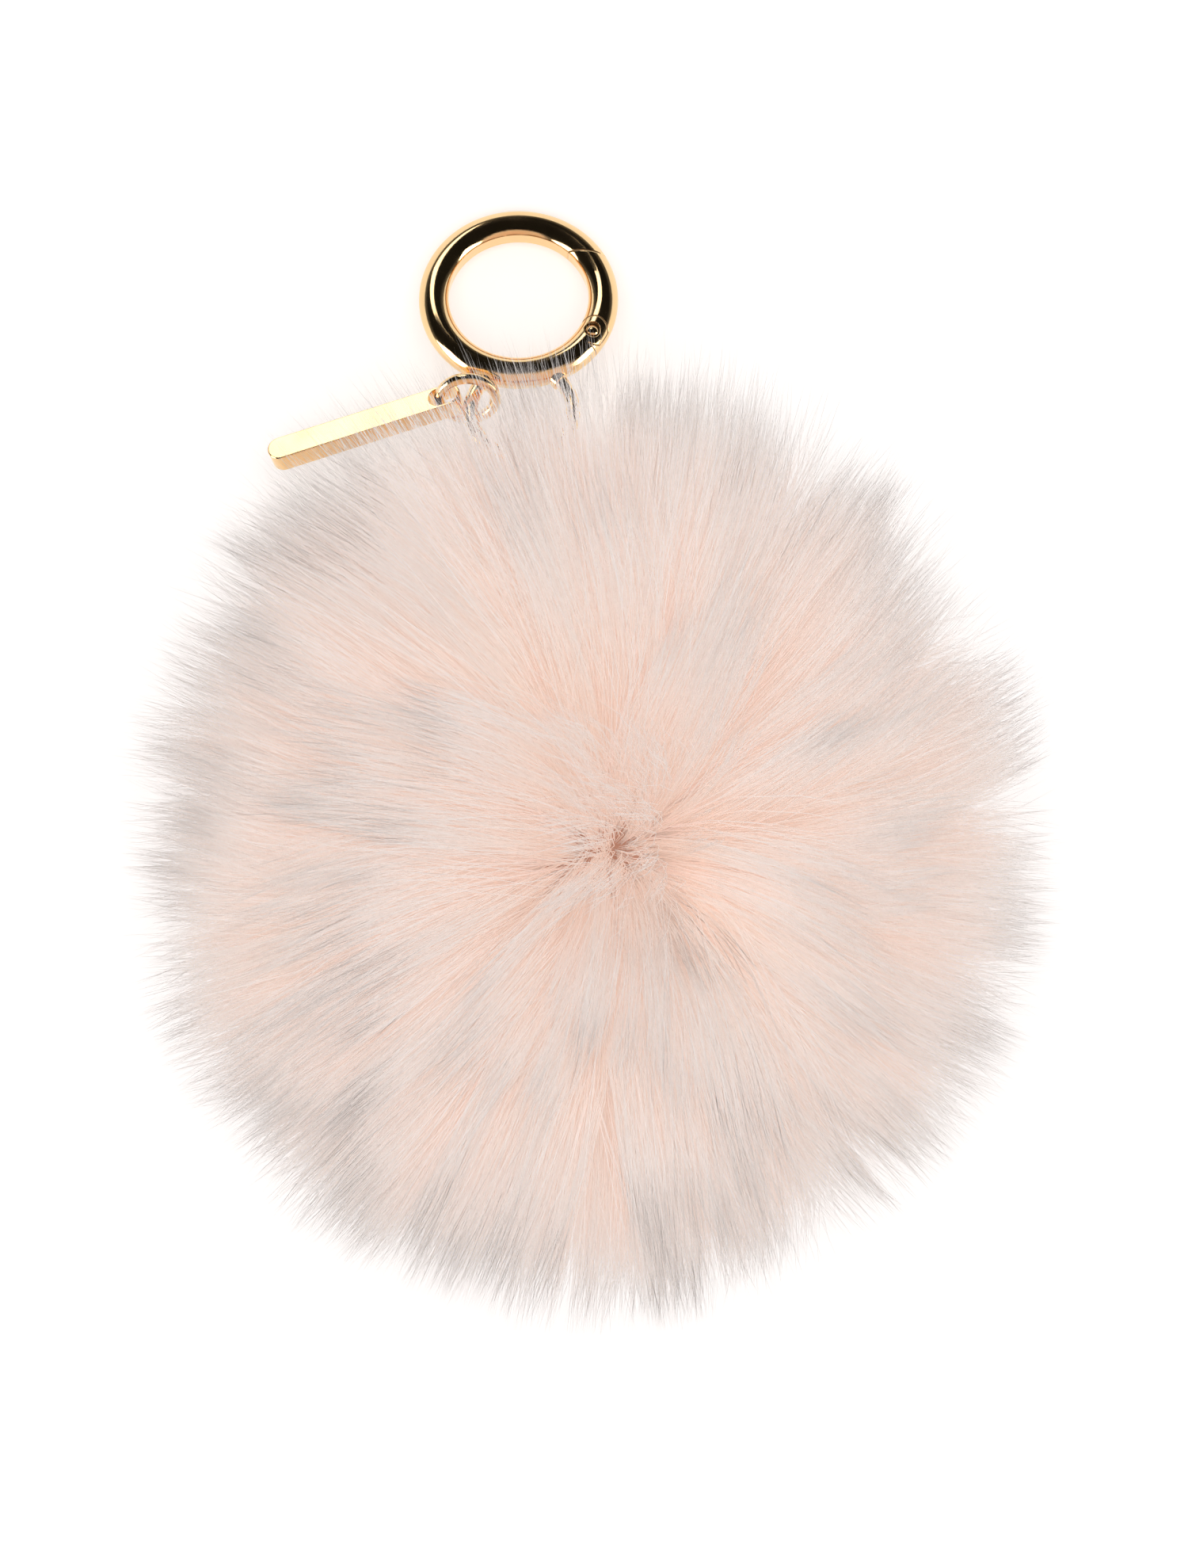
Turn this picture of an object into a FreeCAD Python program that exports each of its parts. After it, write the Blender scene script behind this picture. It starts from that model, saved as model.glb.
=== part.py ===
import FreeCAD, Part
import math
import os

# Fur pom-pom key charm: a long-haired fur ball on a leather strap, a spring-gate clip ring
# with a wire bail, and a blank bar tag on a jump ring.
# Millimetres. +Z is up from the surface that the charm lies on, +Y runs from the ball to the
# clip ring, and the origin is at the middle of the underside of the whole charm.

Vector = FreeCAD.Vector

# ---- fur ball -------------------------------------------------------------------------
FUR_R = 58.0            # dense fur, from the ball's centre
FUR_SQUASH = 12.0       # how far the ball's underside is flattened by lying down
PELT_R = 22.0           # leather side of the pelt, outside
PELT_WALL = 1.2
STUFFING_GAP = 0.2      # stuffing to pelt
NECK_BORE_R = 2.9       # gathered neck of the pelt, where the strap comes out
NECK_WALL = 1.1
NECK_LENGTH = 3.5
THREAD_R = 0.4          # gathering thread around the neck
THREAD_TURNS = 3
THREAD_GAP = 0.02       # thread to neck

# ---- leather strap --------------------------------------------------------------------
STRAP_STANDOFF = 5.3    # the strap's eye stands this far out of the dense fur
STRAP_SIDE = -9.7       # sideways place of the eye, beside the ball's middle
STRAP_WIDTH = 4.0
STRAP_PLY = 1.15        # one thickness of leather; the strap is folded double
STRAP_ROOT_DEPTH = 9.0  # sewn-in end, measured in from the mouth of the neck
STRAP_GAP = 0.35        # free strap to sewn-in end
STRAP_BEND_DEG = 10.0   # how far the strap bends at the neck, each way
EYE_PLAY = 0.45         # eye to bail wire
CHANNEL_GAP = 0.5       # strap to the parting in the fur
STITCH_COUNT = 4
STITCH_PITCH = 1.6
STITCH_LENGTH = 1.1
STITCH_R = 0.22
STITCH_INSET = 1.0      # first stitch, from the eye's outer edge

# ---- clip ring ------------------------------------------------------------------------
CLIP_BORE_R = 10.0      # flat inner land of the ring
CLIP_SECTION_R = 2.25
LAND_CUT = 0.25         # how deep the land is turned into the round section
CLIP_TILT_DEG = 27.0    # the ring leans, its far edge on the surface
HINGE_DEG = -29.6       # place of the gate's hinge around the ring
SEAM_INNER_DEG = 46.6   # gate tip at the land
SEAM_OUTER_DEG = 27.5   # gate tip at the outside
SEAM_GAP = 0.12
EAR_PROUD = 0.025       # round ends of the two ears, past half the ring's width
EAR_GAP = 0.12          # ear to the gate's shoulder
TONGUE_THICK = 1.7
TONGUE_INSET = 0.25     # round end of the tongue, inside the ears
TONGUE_SIDE_GAP = 0.1
TONGUE_SWEEP = 0.42     # room around the tongue in its slot
HEEL_FLAT = 1.2         # flat on the tongue that the plunger pushes, from the pin
PIN_R = 0.6
PIN_RUNNING_GAP = 0.05
PIN_HEAD_R = 0.92
PIN_HEAD_HEIGHT = 0.55
PIN_RECESS_R = 1.2
PIN_RECESS_DEPTH = 0.5
TAIL_OFFSET = 0.775     # flat inside of the gate's outer tail, out from the hinge
TAIL_CHORD_DEG = -35.0
TAIL_END_DEG = -38.7
TAIL_GAP = 0.1

# ---- gate plunger and its spring ------------------------------------------------------
PLUNGER_R = 0.7
PLUNGER_BORE_GAP = 0.05
PLUNGER_LENGTH = 2.4
PLUNGER_LEVER = 1.1     # plunger's axis, inside the pin's axis
PLUNGER_GAP = 0.03      # tip to heel
SPRING_LENGTH = 3.0
SPRING_MEAN_R = 0.5
SPRING_WIRE = 0.2        # side of its square wire
SPRING_TURNS = 6

# ---- wire bail under the ring ---------------------------------------------------------
BAIL_R = 7.3            # centre line of the wire
BAIL_WIRE_R = 1.05
BAIL_SIDE = 0.5         # bail's centre beside the ring's centre
BAIL_STANDOFF = 3.95    # bail's centre below the ring's outside
BAIL_SOCKET = 1.0       # how deep its ends are brazed into the ring
COLLAR_R = 1.32
COLLAR_LENGTH = 0.55

# ---- jump ring and bar tag ------------------------------------------------------------
LINK_R = 3.95
LINK_WIRE_R = 0.8
LINK_TILT_DEG = 46.0    # lean of the jump ring's plane
LINK_LEG_DEG = 163.0    # place on the bail that the jump ring hangs from
LINK_OFFSET = 0.7       # jump ring's centre beside the bail's leg
LINK_SPLIT = 0.08
LINK_SPLIT_DEG = -60.0  # place of its closed joint
TAG_LENGTH = 28.7
TAG_WIDTH = 3.6
TAG_THICK = 3.3
TAG_HEADING_DEG = 17.5
TAG_PITCH_DEG = 5.0
TAG_ROLL_DEG = 33.0
TAG_BEVEL = 0.12
SLOT_WALL = 0.4
SLOT_LENGTH = 4.2

# ---- sizes that follow ----------------------------------------------------------------
CLIP_RING_R = CLIP_BORE_R + CLIP_SECTION_R - LAND_CUT
CLIP_OUTER_R = CLIP_RING_R + CLIP_SECTION_R
CLIP_FAR = 3 * CLIP_OUTER_R
SECTION_MID_R = (CLIP_BORE_R + CLIP_OUTER_R) / 2
EAR_R = (CLIP_OUTER_R - CLIP_BORE_R) / 2 + EAR_PROUD
TONGUE_R = EAR_R - TONGUE_INSET
TAIL_CHORD = SECTION_MID_R + TAIL_OFFSET
BAIL_DROP = CLIP_OUTER_R + BAIL_STANDOFF
EYE_R = BAIL_WIRE_R + EYE_PLAY
EYE_OUTER_R = EYE_R + STRAP_PLY
NECK_END = PELT_R + NECK_LENGTH
STRAP_START = NECK_END - 0.5 * NECK_WALL
STRAP_PIVOT = STRAP_START + STRAP_PLY
PLUNGER_BORE_R = PLUNGER_R + PLUNGER_BORE_GAP
PLUNGER_TIP = HEEL_FLAT + PLUNGER_GAP
PLUNGER_TAIL = PLUNGER_TIP + PLUNGER_LENGTH
SPRING_SEAT = PLUNGER_TAIL + SPRING_LENGTH
SLOT_WIDTH = TAG_WIDTH - 2 * SLOT_WALL


def unit(vector):
    return vector * (1.0 / vector.Length)


def polar(radius, degrees, z=0.0):
    angle = math.radians(degrees)
    return Vector(radius * math.cos(angle), radius * math.sin(angle), z)


# the clip's own frame: ring in its XY plane, bail towards -Y
tilt = math.radians(CLIP_TILT_DEG)
CLIP_V = Vector(0, math.cos(tilt), -math.sin(tilt))
CLIP_N = Vector(0, math.sin(tilt), math.cos(tilt))
clip_height = CLIP_RING_R * math.sin(tilt) + CLIP_SECTION_R
eye_height = clip_height + (BAIL_DROP + BAIL_R) * math.sin(tilt)
ball_height = FUR_R - FUR_SQUASH
reach = FUR_R + STRAP_STANDOFF
eye_y = math.sqrt(reach ** 2 - STRAP_SIDE ** 2 - (ball_height - eye_height) ** 2)
clip_y = eye_y + (BAIL_DROP + BAIL_R) * math.cos(tilt)
far_edge = clip_y + CLIP_RING_R * math.cos(tilt) + CLIP_SECTION_R
ball_y = (FUR_R - far_edge) / 2

BALL = Vector(0, ball_y, ball_height)
EYE = Vector(STRAP_SIDE, ball_y + eye_y, eye_height)
CLIP = Vector(STRAP_SIDE - BAIL_SIDE, ball_y + clip_y, clip_height)

# the strap's own frame: X out of the ball along the strap, Y across its width
STRAP_X = unit(EYE - BALL)
STRAP_Y = unit(Vector(1, 0, 0) - STRAP_X * STRAP_X.x)
STRAP_Z = STRAP_X.cross(STRAP_Y)

# hinge of the gate, in the clip's frame
HINGE = polar(SECTION_MID_R, HINGE_DEG)
HINGE_OUT = polar(1, HINGE_DEG)
HINGE_UP = polar(1, HINGE_DEG + 90)


def frame(origin, x_axis, y_axis, z_axis):
    """Placement that carries a piece from its own frame to the charm's."""
    return FreeCAD.Placement(
        FreeCAD.Matrix(
            x_axis.x, y_axis.x, z_axis.x, origin.x,
            x_axis.y, y_axis.y, z_axis.y, origin.y,
            x_axis.z, y_axis.z, z_axis.z, origin.z,
            0, 0, 0, 1,
        )
    )


CLIP_FRAME = frame(CLIP, Vector(1, 0, 0), CLIP_V, CLIP_N)
STRAP_FRAME = frame(BALL, STRAP_X, STRAP_Y, STRAP_Z)


def placed(shape, placement):
    moved = shape.copy()
    moved.Placement = placement.multiply(moved.Placement)
    return moved


# the jump ring leans across the bail's left leg
LEG_LOCAL = Vector(BAIL_SIDE, -BAIL_DROP, 0) + polar(BAIL_R, LINK_LEG_DEG)
LEG = CLIP_FRAME.multVec(LEG_LOCAL)
LEG_AXIS = CLIP_FRAME.Rotation.multVec(polar(1, LINK_LEG_DEG - 90))
link_tilt = math.radians(LINK_TILT_DEG)
LINK_X = Vector(1, 0, 0)
LINK_Y = Vector(0, math.cos(link_tilt), math.sin(link_tilt))
LINK_N = LINK_X.cross(LINK_Y)
LINK = LEG - LINK_X * LINK_OFFSET

# the bar tag: X along the bar towards its slot, Z out of its face
heading = math.radians(TAG_HEADING_DEG)
pitch = math.radians(TAG_PITCH_DEG)
roll = math.radians(TAG_ROLL_DEG)
level = Vector(math.cos(heading), math.sin(heading), 0)
aside = Vector(-math.sin(heading), math.cos(heading), 0)
TAG_X = level * math.cos(pitch) + Vector(0, 0, math.sin(pitch))
upright = Vector(0, 0, math.cos(pitch)) - level * math.sin(pitch)
TAG_Z = upright * math.cos(roll) + aside * math.sin(roll)
TAG_Y = TAG_Z.cross(TAG_X)
# the wire runs through the slot where its own direction is nearest the slot's
along_wire = unit(TAG_Z - LINK_N * TAG_Z.dot(LINK_N))
SLOT = LINK + along_wire.cross(LINK_N) * -LINK_R
if SLOT.x > LINK.x:
    SLOT = LINK + along_wire.cross(LINK_N) * LINK_R


def cylinder(radius, start, axis, length):
    return Part.makeCylinder(radius, length, start, axis)


def prism(points, low, high):
    """Upright prism over a closed outline in the clip's plane."""
    outline = [Vector(p.x, p.y, low) for p in points]
    face = Part.Face(Part.makePolygon(outline + outline[:1]))
    return face.extrude(Vector(0, 0, high - low))


def layer(half):
    """Slab across the clip, half its thickness each side of the middle plane."""
    return Part.makeBox(2 * CLIP_FAR, 2 * CLIP_FAR, 2 * half, Vector(-CLIP_FAR, -CLIP_FAR, -half))


def ring_blank():
    """The whole ring before it is cut: round section with a flat inner land."""
    torus = Part.makeTorus(CLIP_RING_R, CLIP_SECTION_R)
    bore = cylinder(CLIP_BORE_R, Vector(0, 0, -CLIP_FAR), Vector(0, 0, 1), 2 * CLIP_FAR)
    return torus.cut(bore)


def gate_zone(gap):
    """Sector between the hinge line and the gate's tip, its tip short by the gap."""
    tip_in = polar(CLIP_BORE_R, SEAM_INNER_DEG)
    tip_out = polar(CLIP_OUTER_R, SEAM_OUTER_DEG)
    along = unit(tip_out - tip_in)
    drop = Vector(along.y, -along.x, 0) * gap
    points = [
        tip_in - along * CLIP_BORE_R * 0.3 + drop,
        tip_out + along * CLIP_BORE_R * 0.6 + drop,
        polar(2 * CLIP_RING_R, HINGE_DEG / 2),
        polar(2 * CLIP_RING_R, HINGE_DEG),
        polar(CLIP_BORE_R * 0.8, HINGE_DEG),
    ]
    return prism(points, -CLIP_FAR, CLIP_FAR)


def tail_zone(gap):
    """Outer strip beyond the hinge, where the gate's tail lies against the ring."""
    chord_out = polar(1, TAIL_CHORD_DEG)
    chord_up = polar(1, TAIL_CHORD_DEG + 90)
    foot = chord_out * (TAIL_CHORD - gap)
    end_angle = TAIL_END_DEG - math.degrees(gap / CLIP_RING_R)
    corner = polar((TAIL_CHORD - gap) / math.cos(math.radians(end_angle - TAIL_CHORD_DEG)), end_angle)
    hinge_angle = HINGE_DEG - TAIL_CHORD_DEG
    top = foot + chord_up * (TAIL_CHORD - gap) * math.tan(math.radians(hinge_angle))
    points = [corner, polar(2 * CLIP_RING_R, end_angle), polar(2 * CLIP_RING_R, HINGE_DEG), top]
    return prism(points, -CLIP_FAR, CLIP_FAR)


def around_hinge(radius):
    return cylinder(radius, HINGE - Vector(0, 0, CLIP_FAR), Vector(0, 0, 1), 2 * CLIP_FAR)


def plunger_point(distance):
    """Point on the plunger's axis, this far back from the hinge pin."""
    return HINGE - HINGE_OUT * PLUNGER_LEVER - HINGE_UP * distance


def bail_wire():
    return Part.makeTorus(BAIL_R, BAIL_WIRE_R, Vector(BAIL_SIDE, -BAIL_DROP, 0))


def ring_body():
    """Fixed part of the clip ring, with the two ears that carry the gate."""
    blank = ring_blank()
    fixed = blank.cut(gate_zone(0))
    ears = blank.common(gate_zone(0)).common(around_hinge(EAR_R))
    body = fixed.fuse(ears)
    slot = around_hinge(TONGUE_R + TONGUE_SWEEP).common(layer(TONGUE_THICK / 2 + TONGUE_SIDE_GAP))
    slot_tail = tail_zone(TAIL_GAP).common(layer(TONGUE_THICK / 2 + TONGUE_SIDE_GAP))
    tail_seat = tail_zone(TAIL_GAP).cut(around_hinge(EAR_R))
    plunger_bore = cylinder(
        PLUNGER_BORE_R, plunger_point(HEEL_FLAT / 2), HINGE_UP * -1, SPRING_SEAT - HEEL_FLAT / 2
    )
    body = body.cut(slot).cut(slot_tail).cut(tail_seat).cut(plunger_bore)
    body = body.cut(around_hinge(PIN_R))
    for side in (1, -1):
        floor = HINGE + Vector(0, 0, side * (CLIP_SECTION_R - PIN_RECESS_DEPTH))
        body = body.cut(cylinder(PIN_RECESS_R, floor, Vector(0, 0, side), CLIP_SECTION_R))
    sockets = bail_wire().common(outside_ring(-BAIL_SOCKET))
    body = body.cut(sockets)
    return placed(body.removeSplitter(), CLIP_FRAME)


def outside_ring(offset):
    """Everything outside the ring's centre-line tube of the section radius plus the offset."""
    block = layer(CLIP_FAR)
    return block.cut(Part.makeTorus(CLIP_RING_R, CLIP_SECTION_R + offset)).cut(
        cylinder(CLIP_RING_R, Vector(0, 0, -CLIP_FAR), Vector(0, 0, 1), 2 * CLIP_FAR)
    )


def gate():
    """Swinging part of the clip ring: shoulder, thin tongue and outer tail in one piece."""
    blank = ring_blank()
    bar = blank.common(gate_zone(SEAM_GAP))
    shoulder = bar.cut(around_hinge(EAR_R + EAR_GAP))
    heel = Part.makeBox(
        4 * TONGUE_R, 4 * TONGUE_R, 2 * CLIP_FAR, Vector(-2 * TONGUE_R, -4 * TONGUE_R, -CLIP_FAR)
    )
    heel_frame = frame(HINGE - HINGE_UP * HEEL_FLAT, HINGE_OUT, HINGE_UP, Vector(0, 0, 1))
    disc = around_hinge(TONGUE_R).cut(placed(heel, heel_frame)).common(blank)
    tongue = bar.fuse(disc).fuse(blank.common(tail_zone(0))).common(layer(TONGUE_THICK / 2))
    tail = blank.common(tail_zone(0)).cut(around_hinge(EAR_R + EAR_GAP))
    whole = shoulder.fuse(tongue).fuse(tail).cut(around_hinge(PIN_R + PIN_RUNNING_GAP))
    return placed(whole.removeSplitter(), CLIP_FRAME)


def hinge_pin():
    """Headed pin, both ends domed over in the recesses of the ears."""
    seat = CLIP_SECTION_R - PIN_RECESS_DEPTH
    pin = cylinder(PIN_R, HINGE - Vector(0, 0, seat), Vector(0, 0, 1), 2 * seat)
    dome_r = (PIN_HEAD_R ** 2 + PIN_HEAD_HEIGHT ** 2) / (2 * PIN_HEAD_HEIGHT)
    for side in (1, -1):
        centre = HINGE + Vector(0, 0, side * (seat + PIN_HEAD_HEIGHT - dome_r))
        ball = Part.makeSphere(dome_r, centre)
        head = cylinder(PIN_HEAD_R, HINGE + Vector(0, 0, side * seat), Vector(0, 0, side), dome_r)
        pin = pin.fuse(ball.common(head))
    return placed(pin.removeSplitter(), CLIP_FRAME)


def gate_plunger():
    """Round-nosed plunger that pushes the gate's heel."""
    nose = plunger_point(PLUNGER_TIP + PLUNGER_R)
    body = cylinder(PLUNGER_R, nose, HINGE_UP * -1, PLUNGER_LENGTH - PLUNGER_R)
    return placed(body.fuse(Part.makeSphere(PLUNGER_R, nose)).removeSplitter(), CLIP_FRAME)


def gate_spring():
    """Small compression spring of square wire behind the plunger."""
    half = SPRING_WIRE / 2
    length = SPRING_LENGTH - SPRING_WIRE - 2 * PLUNGER_GAP
    path = Part.makeHelix(length / SPRING_TURNS, length, SPRING_MEAN_R)
    corners = [(-half, -half), (half, -half), (half, half), (-half, half), (-half, -half)]
    section = Part.makePolygon([Vector(SPRING_MEAN_R + x, 0, z) for x, z in corners])
    coil = Part.Wire(path.Edges).makePipeShell([section], True, True)
    back = plunger_point(SPRING_SEAT - half - PLUNGER_GAP)
    own = frame(back, HINGE_OUT, HINGE_UP.cross(HINGE_OUT), HINGE_UP)
    return placed(placed(coil, own), CLIP_FRAME)


def bail_loop():
    """Round wire bail, its two ends brazed into the ring's outer side, each with a collar."""
    wire = bail_wire().common(outside_ring(-BAIL_SOCKET))
    # where the wire's centre line crosses the ring's outside
    centre = Vector(BAIL_SIDE, -BAIL_DROP, 0)
    distance = centre.Length
    along = (CLIP_OUTER_R ** 2 - BAIL_R ** 2 + distance ** 2) / (2 * distance)
    half = math.sqrt(CLIP_OUTER_R ** 2 - along ** 2)
    towards = unit(centre)
    aside_ring = Vector(-towards.y, towards.x, 0)
    for side in (1, -1):
        crossing = towards * along + aside_ring * half * side
        spoke = crossing - centre
        leg = unit(Vector(-spoke.y, spoke.x, 0))
        if leg.dot(towards) < 0:
            leg = leg * -1
        collar = cylinder(COLLAR_R, crossing - leg * COLLAR_R, leg, COLLAR_R + COLLAR_LENGTH)
        wire = wire.fuse(collar.common(outside_ring(0)))
    return placed(wire.removeSplitter(), CLIP_FRAME)


def tag_link_ring():
    """Jump ring, closed to a hair's gap."""
    ring = Part.makeTorus(LINK_R, LINK_WIRE_R)
    gap = Part.makeBox(2 * LINK_R, LINK_SPLIT, 2 * LINK_R, Vector(0, -LINK_SPLIT / 2, -LINK_R))
    gap.rotate(Vector(0, 0, 0), Vector(0, 0, 1), LINK_SPLIT_DEG)
    return placed(ring.cut(gap), frame(LINK, LINK_X, LINK_Y, LINK_N))


def stadium(length, width, low, high):
    """Upright prism with full-round ends, from x = 0 back to x = -length."""
    radius = width / 2
    straight = Part.makeBox(length - width, width, high - low, Vector(radius - length, -radius, low))
    front = cylinder(radius, Vector(-radius, 0, low), Vector(0, 0, 1), high - low)
    back = cylinder(radius, Vector(radius - length, 0, low), Vector(0, 0, 1), high - low)
    return straight.fuse(front).fuse(back).removeSplitter()


def tag_bar():
    """Blank bar tag with full-round ends and a through slot for the jump ring."""
    bar = stadium(TAG_LENGTH, TAG_WIDTH, -TAG_THICK / 2, TAG_THICK / 2)
    rim = [e for e in bar.Edges if abs(e.BoundBox.ZLength) < TAG_BEVEL]
    bar = bar.makeChamfer(TAG_BEVEL, rim)
    slot = stadium(SLOT_LENGTH, SLOT_WIDTH, -TAG_THICK, TAG_THICK)
    slot.translate(Vector(-SLOT_WALL, 0, 0))
    bar = bar.cut(slot)
    # the wire sits at the centre of the slot's inner round
    bar.translate(Vector(SLOT_WALL + SLOT_LENGTH - SLOT_WIDTH / 2, 0, 0))
    return placed(bar, frame(SLOT, TAG_X, TAG_Y, TAG_Z))


def strap_slab(start, end, half_width, half_thick):
    return Part.makeBox(
        end - start, 2 * half_width, 2 * half_thick, Vector(start, -half_width, -half_thick)
    )


def across_strap(radius, distance, half_width):
    return cylinder(radius, Vector(distance, -half_width, 0), Vector(0, 1, 0), 2 * half_width)


def along_bail(radius, half_width):
    """Cylinder on the bail's wire where the eye holds it, in the strap's frame."""
    wire = STRAP_FRAME.Rotation.inverted().multVec(Vector(1, 0, 0))
    return cylinder(radius, Vector(reach, 0, 0) - wire * half_width, wire, 2 * half_width)


def hanger_strap():
    """Free part of the folded strap, with the eye that holds the bail."""
    half = STRAP_WIDTH / 2
    strap = strap_slab(STRAP_PIVOT, reach, half, STRAP_PLY)
    strap = strap.fuse(across_strap(STRAP_PLY, STRAP_PIVOT, half))
    strap = strap.fuse(along_bail(EYE_OUTER_R, half))
    strap = strap.cut(along_bail(EYE_R, 2 * half))
    return placed(strap.removeSplitter(), STRAP_FRAME)


def strap_root():
    """Sewn-in end of the strap, held in the gathered neck."""
    start = NECK_END - STRAP_ROOT_DEPTH
    end = STRAP_START - STRAP_GAP
    return placed(strap_slab(start, end, STRAP_WIDTH / 2, STRAP_PLY), STRAP_FRAME)


def strap_stitching():
    """Stitches that close the fold behind the eye, on both faces of the strap."""
    stitches = []
    for face in (1, -1):
        for row in range(STITCH_COUNT):
            place = reach - EYE_OUTER_R - STITCH_INSET - row * STITCH_PITCH
            start = Vector(place, -STITCH_LENGTH / 2, face * (STRAP_PLY + STITCH_R))
            stitches.append(cylinder(STITCH_R, start, Vector(0, 1, 0), STITCH_LENGTH))
    return placed(Part.makeCompound(stitches), STRAP_FRAME)


def gathering_thread():
    """Turns of thread pulled tight around the pelt's neck."""
    outer = NECK_BORE_R + NECK_WALL + THREAD_GAP + THREAD_R
    turns = []
    for turn in range(THREAD_TURNS):
        place = PELT_R + NECK_LENGTH / 2 + (turn - (THREAD_TURNS - 1) / 2) * 2 * THREAD_R
        turns.append(Part.makeTorus(outer, THREAD_R, Vector(place, 0, 0), Vector(1, 0, 0)))
    return placed(Part.makeCompound(turns), STRAP_FRAME)


def pelt_shell():
    """Leather side of the pelt, gathered to a neck where the strap comes out."""
    start = PELT_R - 2 * PELT_WALL
    neck = cylinder(NECK_BORE_R + NECK_WALL, Vector(start, 0, 0), Vector(1, 0, 0), NECK_END - start)
    shell = Part.makeSphere(PELT_R).fuse(neck).cut(Part.makeSphere(PELT_R - PELT_WALL))
    mouth = cylinder(NECK_BORE_R, Vector(start, 0, 0), Vector(1, 0, 0), 2 * NECK_END)
    return placed(shell.cut(mouth).removeSplitter(), STRAP_FRAME)


def stuffing_ball():
    """Polyester stuffing inside the pelt, with the pocket that the strap's end fills."""
    ball = Part.makeSphere(PELT_R - PELT_WALL - STUFFING_GAP)
    start = NECK_END - STRAP_ROOT_DEPTH
    pocket = strap_slab(start, 2 * NECK_END, STRAP_WIDTH / 2, STRAP_PLY)
    return placed(ball.cut(pocket), STRAP_FRAME)


def fur_pile():
    """Dense fur as one solid: a ball flattened underneath, parted where the strap runs."""
    ball = Part.makeSphere(FUR_R, BALL)
    floor = Part.makeBox(4 * FUR_R, 4 * FUR_R, 2 * FUR_R, Vector(-2 * FUR_R, -2 * FUR_R, -2 * FUR_R))
    ball = ball.cut(floor).cut(Part.makeSphere(PELT_R, BALL))
    rise = math.tan(math.radians(STRAP_BEND_DEG))
    low = PELT_R / 2
    narrow = NECK_BORE_R + NECK_WALL + 2 * THREAD_R + CHANNEL_GAP
    wide = EYE_OUTER_R + (reach - STRAP_PIVOT) * rise + CHANNEL_GAP
    half = NECK_BORE_R + NECK_WALL + 2 * THREAD_R + CHANNEL_GAP
    outline = [(low, -narrow), (reach, -wide), (reach, wide), (low, narrow)]
    points = [Vector(x, -half, z) for x, z in outline]
    parting = Part.Face(Part.makePolygon(points + points[:1])).extrude(Vector(0, 2 * half, 0))
    return ball.cut(placed(parting, STRAP_FRAME))


PIECES = {
    "fur_pile": fur_pile,
    "pelt_shell": pelt_shell,
    "stuffing_ball": stuffing_ball,
    "gathering_thread": gathering_thread,
    "strap_root": strap_root,
    "hanger_strap": hanger_strap,
    "strap_stitching": strap_stitching,
    "bail_loop": bail_loop,
    "ring_body": ring_body,
    "gate": gate,
    "hinge_pin": hinge_pin,
    "gate_plunger": gate_plunger,
    "gate_spring": gate_spring,
    "tag_link_ring": tag_link_ring,
    "tag_bar": tag_bar,
}

os.makedirs("parts", exist_ok=True)
for name, make in PIECES.items():
    shape = make()
    if not shape.isValid():
        raise ValueError(name + " is not a valid solid")
    shape.exportStep("parts/" + name + ".step")
    print(name, len(shape.Solids), "solid(s)", round(shape.Volume, 2), "mm3")
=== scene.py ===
"""Fur pom-pom key charm: long-haired fur ball, leather strap, gilt clip ring and bar tag."""

import math

import bmesh
import bpy
from mathutils import Matrix, Vector


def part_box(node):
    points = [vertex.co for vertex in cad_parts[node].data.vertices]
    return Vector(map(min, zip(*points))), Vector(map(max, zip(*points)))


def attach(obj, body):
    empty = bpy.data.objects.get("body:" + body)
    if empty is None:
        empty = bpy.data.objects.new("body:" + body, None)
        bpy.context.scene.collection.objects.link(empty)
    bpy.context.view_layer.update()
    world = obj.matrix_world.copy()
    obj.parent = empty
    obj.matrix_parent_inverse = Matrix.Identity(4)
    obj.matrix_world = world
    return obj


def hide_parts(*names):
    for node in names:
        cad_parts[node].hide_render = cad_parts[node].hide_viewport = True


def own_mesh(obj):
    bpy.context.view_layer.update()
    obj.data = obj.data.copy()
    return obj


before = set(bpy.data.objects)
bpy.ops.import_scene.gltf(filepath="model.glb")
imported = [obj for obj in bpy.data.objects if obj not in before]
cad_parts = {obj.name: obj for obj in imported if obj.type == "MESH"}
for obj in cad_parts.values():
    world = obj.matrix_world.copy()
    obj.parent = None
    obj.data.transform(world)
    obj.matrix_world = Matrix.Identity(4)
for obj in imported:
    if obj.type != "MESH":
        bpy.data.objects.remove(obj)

bl_info = {
    "name": "Fur pom-pom key charm",
    "version": (1, 0, 0),
    "blender": (4, 5, 0),
    "location": "3D View > Sidebar > Fur charm",
    "description": "Builds the coat, pelt, strap, stitches, gilt clasp and studio of a fur key charm",
    "category": "Object",
}

MM = 0.001
ASPECT = 1500 / 1979     # width over height of the picture
THREAD_R = 0.4 * MM      # gathering thread
STITCH_R = 0.22 * MM     # sewing thread
STITCH_ROWS = 4
NECK_R = 3.4 * MM        # leather of the gathered neck

bpy.context.view_layer.update()


# ---- places, from the frame ------------------------------------------------------------

def middle(node):
    """Centre of a node's box."""
    low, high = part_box(node)
    return (Vector(low) + Vector(high)) / 2


def half_width(node):
    """Half of a node's box along X."""
    low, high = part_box(node)
    return (high[0] - low[0]) / 2


BALL_CENTRE = middle("stuffing_ball")
STUFFING_R = half_width("stuffing_ball")
SKIN_R = half_width("pelt_shell")
NECK_AXIS = (middle("gathering_thread") - BALL_CENTRE).normalized()
NECK_REACH = (middle("gathering_thread") - BALL_CENTRE).length
FLOOR_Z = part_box("fur_pile")[0][2]


# ---- small tools -----------------------------------------------------------------------

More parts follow.
